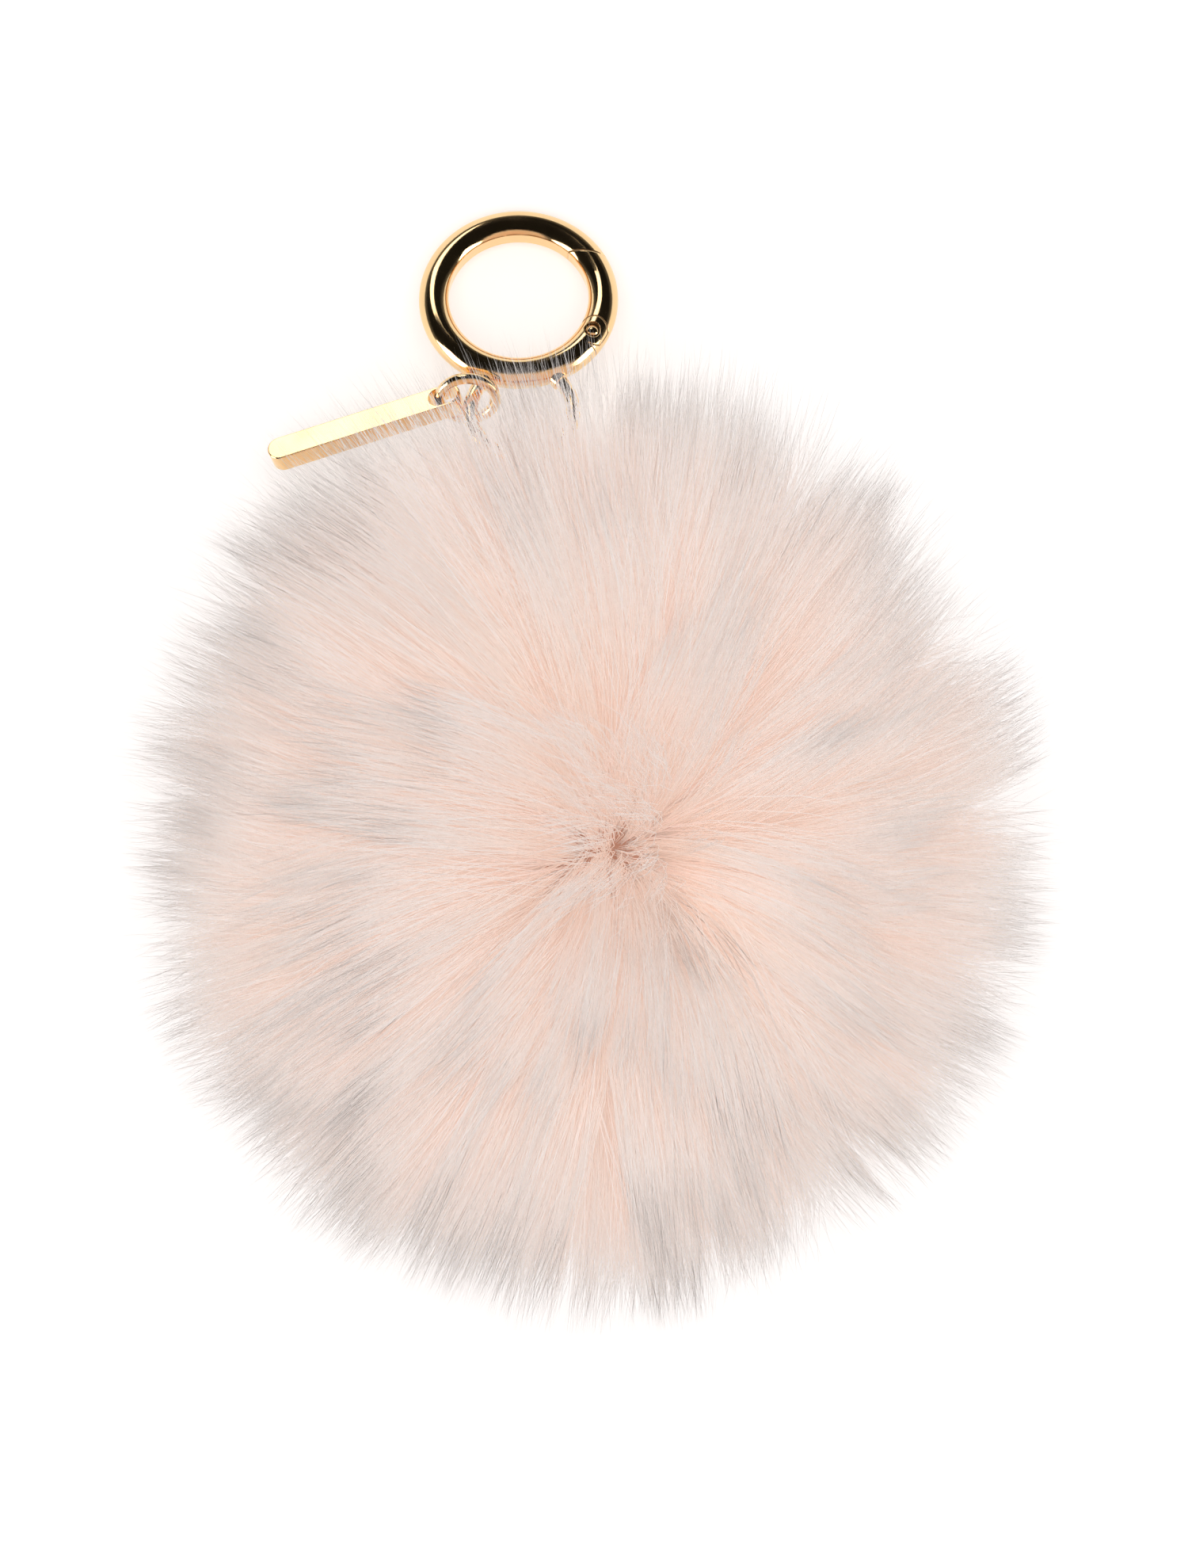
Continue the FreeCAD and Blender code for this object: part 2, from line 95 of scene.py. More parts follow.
def linear(hex_colour):
    """RGBA in linear light from an sRGB hex string."""
    channels = [int(hex_colour[i:i + 2], 16) / 255 for i in (1, 3, 5)]
    bent = [c / 12.92 if c <= 0.04045 else ((c + 0.055) / 1.055) ** 2.4 for c in channels]
    return (*bent, 1.0)


def add(tree, kind, inputs=None, **settings):
    """Adds a node with its settings, and fills or links its inputs by name or number."""
    made = tree.nodes.new(kind)
    for name, value in settings.items():
        setattr(made, name, value)
    for key, value in (inputs or {}).items():
        if isinstance(value, bpy.types.NodeSocket):
            tree.links.new(value, made.inputs[key])
        else:
            made.inputs[key].default_value = value
    return made


def new_tree(name, inputs, outputs):
    """Empty geometry tree with named sockets, each a (name, socket type, default) row."""
    tree = bpy.data.node_groups.new(name, "GeometryNodeTree")
    for label, kind, default in inputs:
        socket = tree.interface.new_socket(label, in_out="INPUT", socket_type=kind)
        if default is not None:
            socket.default_value = default
    for label, kind in outputs:
        tree.interface.new_socket(label, in_out="OUTPUT", socket_type=kind)
    return tree


def new_object(name, mesh):
    """Object in the scene that holds this mesh."""
    made = bpy.data.objects.new(name, mesh)
    bpy.context.scene.collection.objects.link(made)
    return made


def mesh_object(name, points, faces, smooth=True):
    """Object with a mesh made from points and faces."""
    mesh = bpy.data.meshes.new(name)
    mesh.from_pydata([tuple(p) for p in points], [], faces)
    mesh.polygons.foreach_set("use_smooth", [smooth] * len(mesh.polygons))
    mesh.update()
    return new_object(name, mesh)


def grow(obj, tree, values):
    """Runs a geometry tree on an object with named inputs, and keeps the plain mesh."""
    live = obj.modifiers.new("grow", "NODES")
    live.node_group = tree
    for item in tree.interface.items_tree:
        if item.name in values:
            live[item.identifier] = values[item.name]
    keep_shape(obj)


def keep_shape(obj):
    """Replaces an object's mesh with what its modifiers make, and removes them. A tree leaves an
    empty slot before its material, which is dropped."""
    graph = bpy.context.evaluated_depsgraph_get()
    mesh = bpy.data.meshes.new_from_object(obj.evaluated_get(graph))
    if len(mesh.materials) > 1 and mesh.materials[0] is None:
        mesh.materials.pop(index=0)
    obj.modifiers.clear()
    obj.data = mesh


def new_material(name):
    """Material with an empty tree but for its output; gives back both and the output."""
    material = bpy.data.materials.new(name)
    material.use_nodes = True
    tree = material.node_tree
    tree.nodes.clear()
    output = add(tree, "ShaderNodeOutputMaterial")
    return material, tree, output


# ---- sizes and colours -----------------------------------------------------------------

class CoatSizes(bpy.types.PropertyGroup):
    """Hair of the pelt."""
    reach: bpy.props.FloatProperty(
        name="Reach", description="Ball centre to the ends of the wool hair",
        default=61.2 * MM, unit="LENGTH")
    guard_reach: bpy.props.FloatProperty(
        name="Guard reach", description="Ball centre to the ends of the long guard hairs",
        default=64.5 * MM, unit="LENGTH")
    hair_width: bpy.props.FloatProperty(
        name="Hair width", description="Thickness of a wool hair, drawn coarser than life",
        default=0.16 * MM, unit="LENGTH")
    guard_width: bpy.props.FloatProperty(
        name="Guard width", description="Thickness of a guard hair, drawn coarser than life",
        default=0.15 * MM, unit="LENGTH")
    lay: bpy.props.FloatProperty(
        name="Lay", description="How far the hair falls away from the whorl", default=0.5)
    whorl: bpy.props.FloatVectorProperty(
        name="Whorl", description="Way the parting of the hair faces", default=(0.13, 0.06, 1.0),
        subtype="DIRECTION")
    layers: bpy.props.IntProperty(
        name="Layers", description="Layers of wool hair, one mesh each", default=7, min=1)
    wool_per_layer: bpy.props.IntProperty(
        name="Hairs in a layer", description="Wool hairs in one mesh", default=8600)
    guard_hairs: bpy.props.IntProperty(
        name="Guard hairs", description="Long fine hairs in one mesh", default=7000)
    root_colour: bpy.props.StringProperty(
        name="Root colour", description="Dyed hair at the skin, sRGB hex", default="#F1E1D3")
    tip_colour: bpy.props.StringProperty(
        name="Tip colour", description="Dyed hair at its end, sRGB hex", default="#F1E9E5")
    collar_reach: bpy.props.FloatProperty(
        name="Collar reach", description="Ball centre to the ends of the hairs over the clasp",
        default=67.0 * MM, unit="LENGTH")
    collar_hairs: bpy.props.IntProperty(
        name="Collar hairs", description="Hairs over the clasp, if they went all round",
        default=9000)
    # Painted glow: strength of the hair's emission, painted light that stands for light passed from
    # hair to hair
    scatter: bpy.props.FloatProperty(
        name="Scatter", description="Light that hairs pass on to each other", default=0.2,
        min=0, max=1)


class ClaspFinish(bpy.types.PropertyGroup):
    """Plating of the clip ring, wires, pin and tag."""
    gilt: bpy.props.StringProperty(
        name="Gilt", description="Pale gold plate, sRGB hex", default="#F9D8A4")
    roughness: bpy.props.FloatProperty(
        name="Polish", description="Roughness of the polished plate", default=0.06, min=0, max=1)


class StudioSizes(bpy.types.PropertyGroup):
    """Floor, lamps and camera."""
    camera_height: bpy.props.FloatProperty(
        name="Camera height", description="Camera above the floor", default=1.6, unit="LENGTH")
    aim: bpy.props.FloatVectorProperty(
        name="Aim", description="Point of the floor under the camera", size=2,
        default=(0.565 * MM, -6.883 * MM), unit="LENGTH")
    view_height: bpy.props.FloatProperty(
        name="View height", description="Height of the framed area", default=223.6 * MM,
        unit="LENGTH")
    lamp_power: bpy.props.FloatProperty(
        name="Lamp power", description="Power of each side lamp, seen only in the plating",
        default=4.0, unit="POWER")
    overhead_power: bpy.props.FloatProperty(
        name="Overhead power", description="Power of the overhead fill, unseen in the plating",
        default=12.8, unit="POWER")


# ---- materials -------------------------------------------------------------------------

def dyed_fox_fur(name, root, tip, cool, scatter):
    """Dyed fox hair: silky, warm and deeper at the skin, almost white at the ends, with each
    hair a little warmer or cooler than the next, so that the locks read as many hairs. The
    faint glow is painted light: an even self-glow, standing for light passed from hair to hair, that
    lifts the shaded partings."""
    material, tree, output = new_material(name)
    uv = add(tree, "ShaderNodeUVMap", uv_map="OFBake")
    place = add(tree, "ShaderNodeSeparateXYZ", {0: uv.outputs["UV"]})
    along = add(tree, "ShaderNodeValToRGB", {0: place.outputs["Y"]})
    ramp = along.color_ramp
    ramp.elements[0].color = linear(root)
    ramp.elements[0].position = 0.15
    ramp.elements[1].color = linear(tip)
    ramp.elements[1].position = 0.92
    each = add(tree, "ShaderNodeTexWhiteNoise", {"W": place.outputs["X"]}, noise_dimensions="1D")
    share = add(tree, "ShaderNodeMath", {0: each.outputs["Value"], 1: 0.5}, operation="MULTIPLY")
    colour = add(
        tree, "ShaderNodeMix",
        {0: share.outputs[0], 6: along.outputs["Color"], 7: linear(cool)}, data_type="RGBA")
    # The emission is a painted glow: painted light that brightens the shaded hair in the partings
    shader = add(tree, "ShaderNodeBsdfPrincipled", {
        "Base Color": colour.outputs[2], "Roughness": 0.55, "Specular IOR Level": 0.2,
        "Emission Color": linear("#FFEEE6"), "Emission Strength": scatter})
    tree.links.new(shader.outputs[0], output.inputs[0])
    return material


def polished_gilt(name, gilt, roughness, brushed=0.0):
    """Pale gold plate on polished zinc: a clear mirror with faint wipe marks and a few hair
    scratches, so that its reflections break up slightly, and with tumbled edges that catch the
    light, so that the gate's joints show as thin bright lines."""
    material, tree, output = new_material(name)
    place = add(tree, "ShaderNodeTexCoord")
    wipes = add(tree, "ShaderNodeTexNoise", {
        "Vector": place.outputs["Object"], "Scale": 160.0, "Detail": 4.0, "Roughness": 0.6})
    finish = add(tree, "ShaderNodeMapRange", {
        0: wipes.outputs[0], 1: 0.35, 2: 0.7, 3: roughness, 4: roughness * 2 + 0.02})
    stretch = add(tree, "ShaderNodeMapping", {
        0: place.outputs["Object"], 2: (0.3, 0.2, 0.5), 3: (900.0, 5200.0, 2600.0)})
    marks = add(tree, "ShaderNodeTexNoise", {
        "Vector": stretch.outputs[0], "Scale": 1.0, "Detail": 2.0})
    tumbled = add(tree, "ShaderNodeBevel", {"Radius": 0.2 * MM}, samples=6)
    bump = add(tree, "ShaderNodeBump", {
        "Strength": 0.03 + brushed, "Distance": 0.02 * MM, "Height": marks.outputs[0],
        "Normal": tumbled.outputs[0]})
    tint = add(tree, "ShaderNodeMix", {
        0: wipes.outputs[0], 6: linear(gilt), 7: linear("#F3CB92")}, data_type="RGBA")
    shader = add(tree, "ShaderNodeBsdfPrincipled", {
        "Base Color": tint.outputs[2], "Metallic": 1.0, "Roughness": finish.outputs[0],
        "Normal": bump.outputs[0]})
    tree.links.new(shader.outputs[0], output.inputs[0])
    return material


def ground_steel(name):
    """Ground carbon steel of the plunger and spring: grey, satin, with fine turning lines."""
    material, tree, output = new_material(name)
    place = add(tree, "ShaderNodeTexCoord")
    lines = add(tree, "ShaderNodeTexNoise", {
        "Vector": place.outputs["Object"], "Scale": 2500.0, "Detail": 3.0})
    finish = add(tree, "ShaderNodeMapRange", {0: lines.outputs[0], 3: 0.25, 4: 0.45})
    bump = add(tree, "ShaderNodeBump", {
        "Strength": 0.15, "Distance": 0.01 * MM, "Height": lines.outputs[0]})
    shader = add(tree, "ShaderNodeBsdfPrincipled", {
        "Base Color": linear("#B9BABC"), "Metallic": 1.0, "Roughness": finish.outputs[0],
        "Normal": bump.outputs[0]})
    tree.links.new(shader.outputs[0], output.inputs[0])
    return material


def dyed_leather(name, colour, dark, grain):
    """Dyed lamb leather: soft, matt, with a fine pebble grain and a hue that turns darker in random
    clouds.
    """
    material, tree, output = new_material(name)
    place = add(tree, "ShaderNodeTexCoord")
    pebbles = add(tree, "ShaderNodeTexVoronoi", {
        "Vector": place.outputs["Object"], "Scale": 1 / grain})
    clouds = add(tree, "ShaderNodeTexNoise", {
        "Vector": place.outputs["Object"], "Scale": 220.0, "Detail": 5.0})
    tint = add(tree, "ShaderNodeMix", {
        0: clouds.outputs[0], 6: linear(colour), 7: linear(dark)}, data_type="RGBA")
    finish = add(tree, "ShaderNodeMapRange", {0: clouds.outputs[0], 3: 0.5, 4: 0.72})
    bump = add(tree, "ShaderNodeBump", {
        "Strength": 0.35, "Distance": 0.08 * MM, "Height": pebbles.outputs[0]})
    shader = add(tree, "ShaderNodeBsdfPrincipled", {
        "Base Color": tint.outputs[2], "Roughness": finish.outputs[0],
        "Sheen Weight": 0.1, "Normal": bump.outputs[0]})
    tree.links.new(shader.outputs[0], output.inputs[0])
    return material


def waxed_thread(name, colour, twist):
    """Waxed polyester thread: satin, with the slanting ridges of its twisted plies, their crests
    painted lighter as a painted highlight.
    """
    material, tree, output = new_material(name)
    place = add(tree, "ShaderNodeTexCoord")
    plies = add(tree, "ShaderNodeTexWave", {
        "Vector": place.outputs["Object"], "Scale": 1 / twist / 3, "Distortion": 1.0},
        bands_direction="DIAGONAL")
    # Painted highlight: the ply crests, which the bump raises, are painted lighter than the grooves
    tint = add(tree, "ShaderNodeMix", {
        0: plies.outputs[1], 6: linear(colour), 7: linear("#F6E6DD")}, data_type="RGBA")
    bump = add(tree, "ShaderNodeBump", {
        "Strength": 0.4, "Distance": 0.05 * MM, "Height": plies.outputs[1]})
    shader = add(tree, "ShaderNodeBsdfPrincipled", {
        "Base Color": tint.outputs[2], "Roughness": 0.5, "Normal": bump.outputs[0]})
    tree.links.new(shader.outputs[0], output.inputs[0])
    return material


def polyester_wadding(name):
    """Carded polyester wadding: white, matt and lumpy with a fluffy edge of light, its hollows
    painted darker as painted shade.
    """
    material, tree, output = new_material(name)
    place = add(tree, "ShaderNodeTexCoord")
    lumps = add(tree, "ShaderNodeTexNoise", {
        "Vector": place.outputs["Object"], "Scale": 300.0, "Detail": 8.0, "Roughness": 0.7})
    # Painted shade: the hollows between the lumps, which the bump sinks, are painted darker and the
    # lump tops lighter
    tint = add(tree, "ShaderNodeMix", {
        0: lumps.outputs[0], 6: linear("#E9E6E1"), 7: linear("#FBFAF7")}, data_type="RGBA")
    bump = add(tree, "ShaderNodeBump", {
        "Strength": 0.8, "Distance": 0.6 * MM, "Height": lumps.outputs[0]})
    shader = add(tree, "ShaderNodeBsdfPrincipled", {
        "Base Color": tint.outputs[2], "Roughness": 0.95, "Sheen Weight": 0.4,
        "Normal": bump.outputs[0]})
    tree.links.new(shader.outputs[0], output.inputs[0])
    return material


def opal_acrylic(name):
    """Opal acrylic table top, lit softly from below: plain, pale and matt."""
    material, tree, output = new_material(name)
    shader = add(tree, "ShaderNodeBsdfPrincipled", {
        "Base Color": linear("#F2F2F2"), "Roughness": 0.7,
        "Emission Color": (1.0, 1.0, 1.0, 1.0), "Emission Strength": 0.35})
    tree.links.new(shader.outputs[0], output.inputs[0])
    return material


# ---- coat ------------------------------------------------------------------------------

def one_hair():
    """Closed three-sided hair of unit length: "along" runs from root to end, "side" is the
    outline across it, and the UV map runs around it and along it."""
    stations = ((0.0, 0.7), (0.28, 1.0), (0.56, 0.85), (0.8, 0.55))
    sides = 3
    points, along, faces, uvs = [], [], [], []
    for at, width in stations:
        for k in range(sides):
            turn = 2 * math.pi * k / sides
            points.append((math.cos(turn) * width / 2, math.sin(turn) * width / 2, 0.0))
            along.append(at)
    points.append((0.0, 0.0, 0.0))
    along.append(1.0)
    tip = len(points) - 1
    for ring in range(len(stations)):
        for k in range(sides):
            here, there = ring * sides + k, ring * sides + (k + 1) % sides
            left, right = k / sides, (k + 1) / sides
            low = stations[ring][0]
            if ring + 1 < len(stations):
                high = stations[ring + 1][0]
                faces.append((here, there, there + sides, here + sides))
                uvs += [(left, low), (right, low), (right, high), (left, high)]
            else:
                faces.append((here, there, tip))
                uvs += [(left, low), (right, low), ((left + right) / 2, 1.0)]
    faces.append((2, 1, 0))
    uvs += [(1.0, 0.0), (0.5, 0.02), (0.0, 0.0)]
    hair = mesh_object("one_hair", points, faces)
    mesh = hair.data
    mesh.attributes.new("along", "FLOAT", "POINT").data.foreach_set("value", along)
    side = mesh.attributes.new("side", "FLOAT_VECTOR", "POINT")
    side.data.foreach_set("vector", [c for p in points for c in p])
    layer = mesh.uv_layers.new(name="OFBake")
    layer.data.foreach_set("uv", [c for uv in uvs for c in uv])
    return hair


HAIR_SOCKETS = (
    ("Centre", "NodeSocketVector", None),
    ("Whorl", "NodeSocketVector", None),
    ("Skin", "NodeSocketFloat", SKIN_R),
    ("Reach", "NodeSocketFloat", 0.06),
    ("Lay", "NodeSocketFloat", 0.6),
    ("Swirl", "NodeSocketFloat", 1.5),
    ("Crest", "NodeSocketFloat", 0.1),
    ("Crest way", "NodeSocketVector", None),
    ("Tuft pull", "NodeSocketFloat", 0.7),
    ("Lock pull", "NodeSocketFloat", 0.6),
    ("Stray", "NodeSocketFloat", 0.5),
    ("Spread", "NodeSocketFloat", 0.1),
    ("Wave", "NodeSocketFloat", 0.001),
    ("Floor", "NodeSocketFloat", 0.0),
    ("Shelf", "NodeSocketFloat", 0.02),
    ("Shelf left", "NodeSocketFloat", -0.045),
    ("Shelf right", "NodeSocketFloat", 0.005),
    ("Shelf front", "NodeSocketFloat", 0.03),
)


def hair_line():
    """Point at "Along" on each hair. A hair leaves the skin straight, joins its tuft and its
    lock, falls away from the whorl, and rests on the floor or over the clasp."""
    tree = new_tree(
        "hair_line", (("Along", "NodeSocketFloat", 1.0), *HAIR_SOCKETS),
        (("Position", "NodeSocketVector"), ("Across", "NodeSocketVector"),
         ("Beyond", "NodeSocketVector"), ("Lift", "NodeSocketFloat")))
    given = add(tree, "NodeGroupInput").outputs
    stored = {
        name: add(tree, "GeometryNodeInputNamedAttribute", {0: name}, data_type="FLOAT_VECTOR")
        .outputs[0] for name in ("root", "tuft", "lock", "chance")}
    chance = add(tree, "ShaderNodeSeparateXYZ", {0: stored["chance"]}).outputs
    along = given["Along"]

    # way of the hair itself, its tuft and its lock, each strayed by a slow noise
    ways = {}
    for name, scale, weight in (("root", 900.0, 0.35), ("tuft", 190.0, 0.9), ("lock", 75.0, 1.0)):
        way = add(tree, "ShaderNodeVectorMath", {0: stored[name]}, operation="NORMALIZE")
        noise = add(tree, "ShaderNodeTexNoise", {
            "Vector": stored[name], "Scale": scale, "Detail": 0.0})
        even = add(tree, "ShaderNodeVectorMath", {
            0: noise.outputs[1], 1: (0.5, 0.5, 0.5)}, operation="SUBTRACT")
        amount = add(tree, "ShaderNodeMath", {0: given["Stray"], 1: weight * 2},
                     operation="MULTIPLY")
        strayed = add(tree, "ShaderNodeVectorMath", {
            0: even.outputs[0], "Scale": amount.outputs[0]}, operation="SCALE")
        ways[name] = add(tree, "ShaderNodeVectorMath", {
            0: way.outputs[0], 1: strayed.outputs[0]}, operation="ADD").outputs[0]
    pull = add(tree, "ShaderNodeMath", {0: along, 1: given["Tuft pull"]}, operation="MULTIPLY")
    to_tuft = add(tree, "ShaderNodeMix", {
        0: pull.outputs[0], 4: ways["root"], 5: ways["tuft"]}, data_type="VECTOR")
    square = add(tree, "ShaderNodeMath", {0: along, 1: 1.5}, operation="POWER")
    pull = add(tree, "ShaderNodeMath", {0: square.outputs[0], 1: given["Lock pull"]},
               operation="MULTIPLY")
    to_lock = add(tree, "ShaderNodeMix", {
        0: pull.outputs[0], 4: to_tuft.outputs[1], 5: ways["lock"]}, data_type="VECTOR")

    # fall away from the whorl, more for some locks
    mood = add(tree, "ShaderNodeTexNoise", {"Vector": stored["lock"], "Scale": 110.0,
                                            "Detail": 0.0})
    share = add(tree, "ShaderNodeMapRange", {0: mood.outputs[0], 1: 0.3, 2: 0.7, 3: 0.7, 4: 1.3})
    fall = add(tree, "ShaderNodeMath", {0: share.outputs[0], 1: given["Lay"]},
               operation="MULTIPLY")
    fall = add(tree, "ShaderNodeMath", {0: fall.outputs[0], 1: square.outputs[0]},
               operation="MULTIPLY")
    swirl = add(tree, "ShaderNodeTexNoise", {"Vector": stored["lock"], "Scale": 48.0,
                                             "Detail": 1.0})
    swirl = add(tree, "ShaderNodeVectorMath", {
        0: swirl.outputs[1], 1: (0.5, 0.5, 0.5)}, operation="SUBTRACT")
    swirl = add(tree, "ShaderNodeVectorMath", {
        0: swirl.outputs[0], "Scale": given["Swirl"]}, operation="SCALE")
    partings = add(tree, "ShaderNodeVectorMath", {
        0: given["Whorl"], 1: swirl.outputs[0]}, operation="ADD")
    drop = add(tree, "ShaderNodeVectorMath", {
        0: partings.outputs[0], "Scale": fall.outputs[0]}, operation="SCALE")
    way = add(tree, "ShaderNodeVectorMath", {
        0: to_lock.outputs[1], 1: drop.outputs[0]}, operation="SUBTRACT")
    way = add(tree, "ShaderNodeVectorMath", {0: way.outputs[0]}, operation="NORMALIZE")

    # distance from the centre: each lock and each hair has its own length
    own = add(tree, "ShaderNodeMath", {0: chance["X"], 1: mood.outputs[0]}, operation="ADD")
    own = add(tree, "ShaderNodeMapRange", {0: own.outputs[0], 1: 0.5, 2: 1.5, 3: -1.0, 4: 1.0})
    own = add(tree, "ShaderNodeMath", {
        0: own.outputs[0], 1: given["Spread"], 2: 1.0}, operation="MULTIPLY_ADD")
    way_out = add(tree, "ShaderNodeVectorMath", {0: stored["tuft"]}, operation="NORMALIZE")
    facing = add(tree, "ShaderNodeVectorMath", {
        0: way_out.outputs[0], 1: given["Crest way"]}, operation="DOT_PRODUCT")
    crest = add(tree, "ShaderNodeMapRange", {
        0: facing.outputs["Value"], 1: 0.2, 2: 0.95, 3: 0.0, 4: given["Crest"]},
        interpolation_type="SMOOTHSTEP")
    own = add(tree, "ShaderNodeMath", {0: own.outputs[0], 1: crest.outputs[0]},
              operation="ADD")
    full = add(tree, "ShaderNodeMath", {0: own.outputs[0], 1: given["Reach"]},
               operation="MULTIPLY")
    free = add(tree, "ShaderNodeMath", {0: full.outputs[0], 1: given["Skin"]},
               operation="SUBTRACT")
    distance = add(tree, "ShaderNodeMath", {
        0: free.outputs[0], 1: along, 2: given["Skin"]}, operation="MULTIPLY_ADD")
    raw = add(tree, "ShaderNodeVectorMath", {
        0: way.outputs[0], "Scale": distance.outputs[0]}, operation="SCALE")

    # two ways across the hair, and a slow wave along the first
    across = add(tree, "ShaderNodeVectorMath", {
        0: way.outputs[0], 1: (0.35, -0.2, 0.91)}, operation="CROSS_PRODUCT")
    across = add(tree, "ShaderNodeVectorMath", {0: across.outputs[0]}, operation="NORMALIZE")
    beyond = add(tree, "ShaderNodeVectorMath", {
        0: way.outputs[0], 1: across.outputs[0]}, operation="CROSS_PRODUCT")
    phase = add(tree, "ShaderNodeMath", {0: chance["Y"], 1: 6.28}, operation="MULTIPLY")
    phase = add(tree, "ShaderNodeMath", {0: along, 1: 4.5, 2: phase.outputs[0]},
                operation="MULTIPLY_ADD")
    swing = add(tree, "ShaderNodeMath", {0: phase.outputs[0]}, operation="SINE")
    swing = add(tree, "ShaderNodeMath", {0: swing.outputs[0], 1: along}, operation="MULTIPLY")
    swing = add(tree, "ShaderNodeMath", {0: swing.outputs[0], 1: given["Wave"]},
                operation="MULTIPLY")
    wave = add(tree, "ShaderNodeVectorMath", {
        0: across.outputs[0], "Scale": swing.outputs[0]}, operation="SCALE")
    free = add(tree, "ShaderNodeVectorMath", {
        0: raw.outputs[0], 1: wave.outputs[0]}, operation="ADD")
    free = add(tree, "ShaderNodeVectorMath", {
        0: free.outputs[0], 1: given["Centre"]}, operation="ADD")
    spot = add(tree, "ShaderNodeSeparateXYZ", {0: free.outputs[0]}).outputs

    # height that the hair rests on: the floor, or a shelf over the clasp and tag
    margin = 9 * MM
    edges = []
    for axis, key, side in (("X", "Shelf left", -1), ("X", "Shelf right", 1),
                            ("Y", "Shelf front", -1)):
        outer = add(tree, "ShaderNodeMath", {0: given[key], 1: margin * side}, operation="ADD")
        edges.append(add(tree, "ShaderNodeMapRange", {
            0: spot[axis], 1: outer.outputs[0], 2: given[key], 3: 0.0, 4: 1.0},
            interpolation_type="SMOOTHSTEP").outputs[0])
    over = add(tree, "ShaderNodeMath", {0: edges[0], 1: edges[1]}, operation="MULTIPLY")
    over = add(tree, "ShaderNodeMath", {0: over.outputs[0], 1: edges[2]}, operation="MULTIPLY")
    shelf = add(tree, "ShaderNodeMath", {0: over.outputs[0], 1: given["Shelf"]},
                operation="MULTIPLY")
    bed = add(tree, "ShaderNodeMath", {0: chance["Z"], 1: 5 * MM, 2: given["Floor"]},
              operation="MULTIPLY_ADD")
    ground = add(tree, "ShaderNodeMath", {0: bed.outputs[0], 1: shelf.outputs[0]},
                 operation="ADD")
    height = add(tree, "ShaderNodeMath", {
        0: spot["Z"], 1: ground.outputs[0], 2: 5 * MM}, operation="SMOOTH_MAX")
    height = add(tree, "ShaderNodeMath", {
        0: height.outputs[0], 1: ground.outputs[0]}, operation="MAXIMUM")
    under = add(tree, "ShaderNodeMath", {0: bed.outputs[0], 1: spot["Z"]}, operation="SUBTRACT")
    under = add(tree, "ShaderNodeMath", {0: under.outputs[0], 1: 0.0}, operation="MAXIMUM")
    flat = add(tree, "ShaderNodeVectorMath", {
        0: raw.outputs[0], 1: (1.0, 1.0, 0.0)}, operation="MULTIPLY")
    flat = add(tree, "ShaderNodeVectorMath", {0: flat.outputs[0]}, operation="NORMALIZE")
    flat = add(tree, "ShaderNodeVectorMath", {
        0: flat.outputs[0], "Scale": under.outputs[0]}, operation="SCALE")
    rested = add(tree, "ShaderNodeCombineXYZ", {
        0: spot["X"], 1: spot["Y"], 2: height.outputs[0]})
    rested = add(tree, "ShaderNodeVectorMath", {
        0: rested.outputs[0], 1: flat.outputs[0]}, operation="ADD")
    lift = add(tree, "ShaderNodeMath", {0: ground.outputs[0], 1: spot["Z"]},
               operation="SUBTRACT")
    lift = add(tree, "ShaderNodeMath", {0: lift.outputs[0], 1: over.outputs[0]},
               operation="MULTIPLY")
    add(tree, "NodeGroupOutput", {
        0: rested.outputs[0], 1: across.outputs[0], 2: beyond.outputs[0], 3: lift.outputs[0]})
    return tree


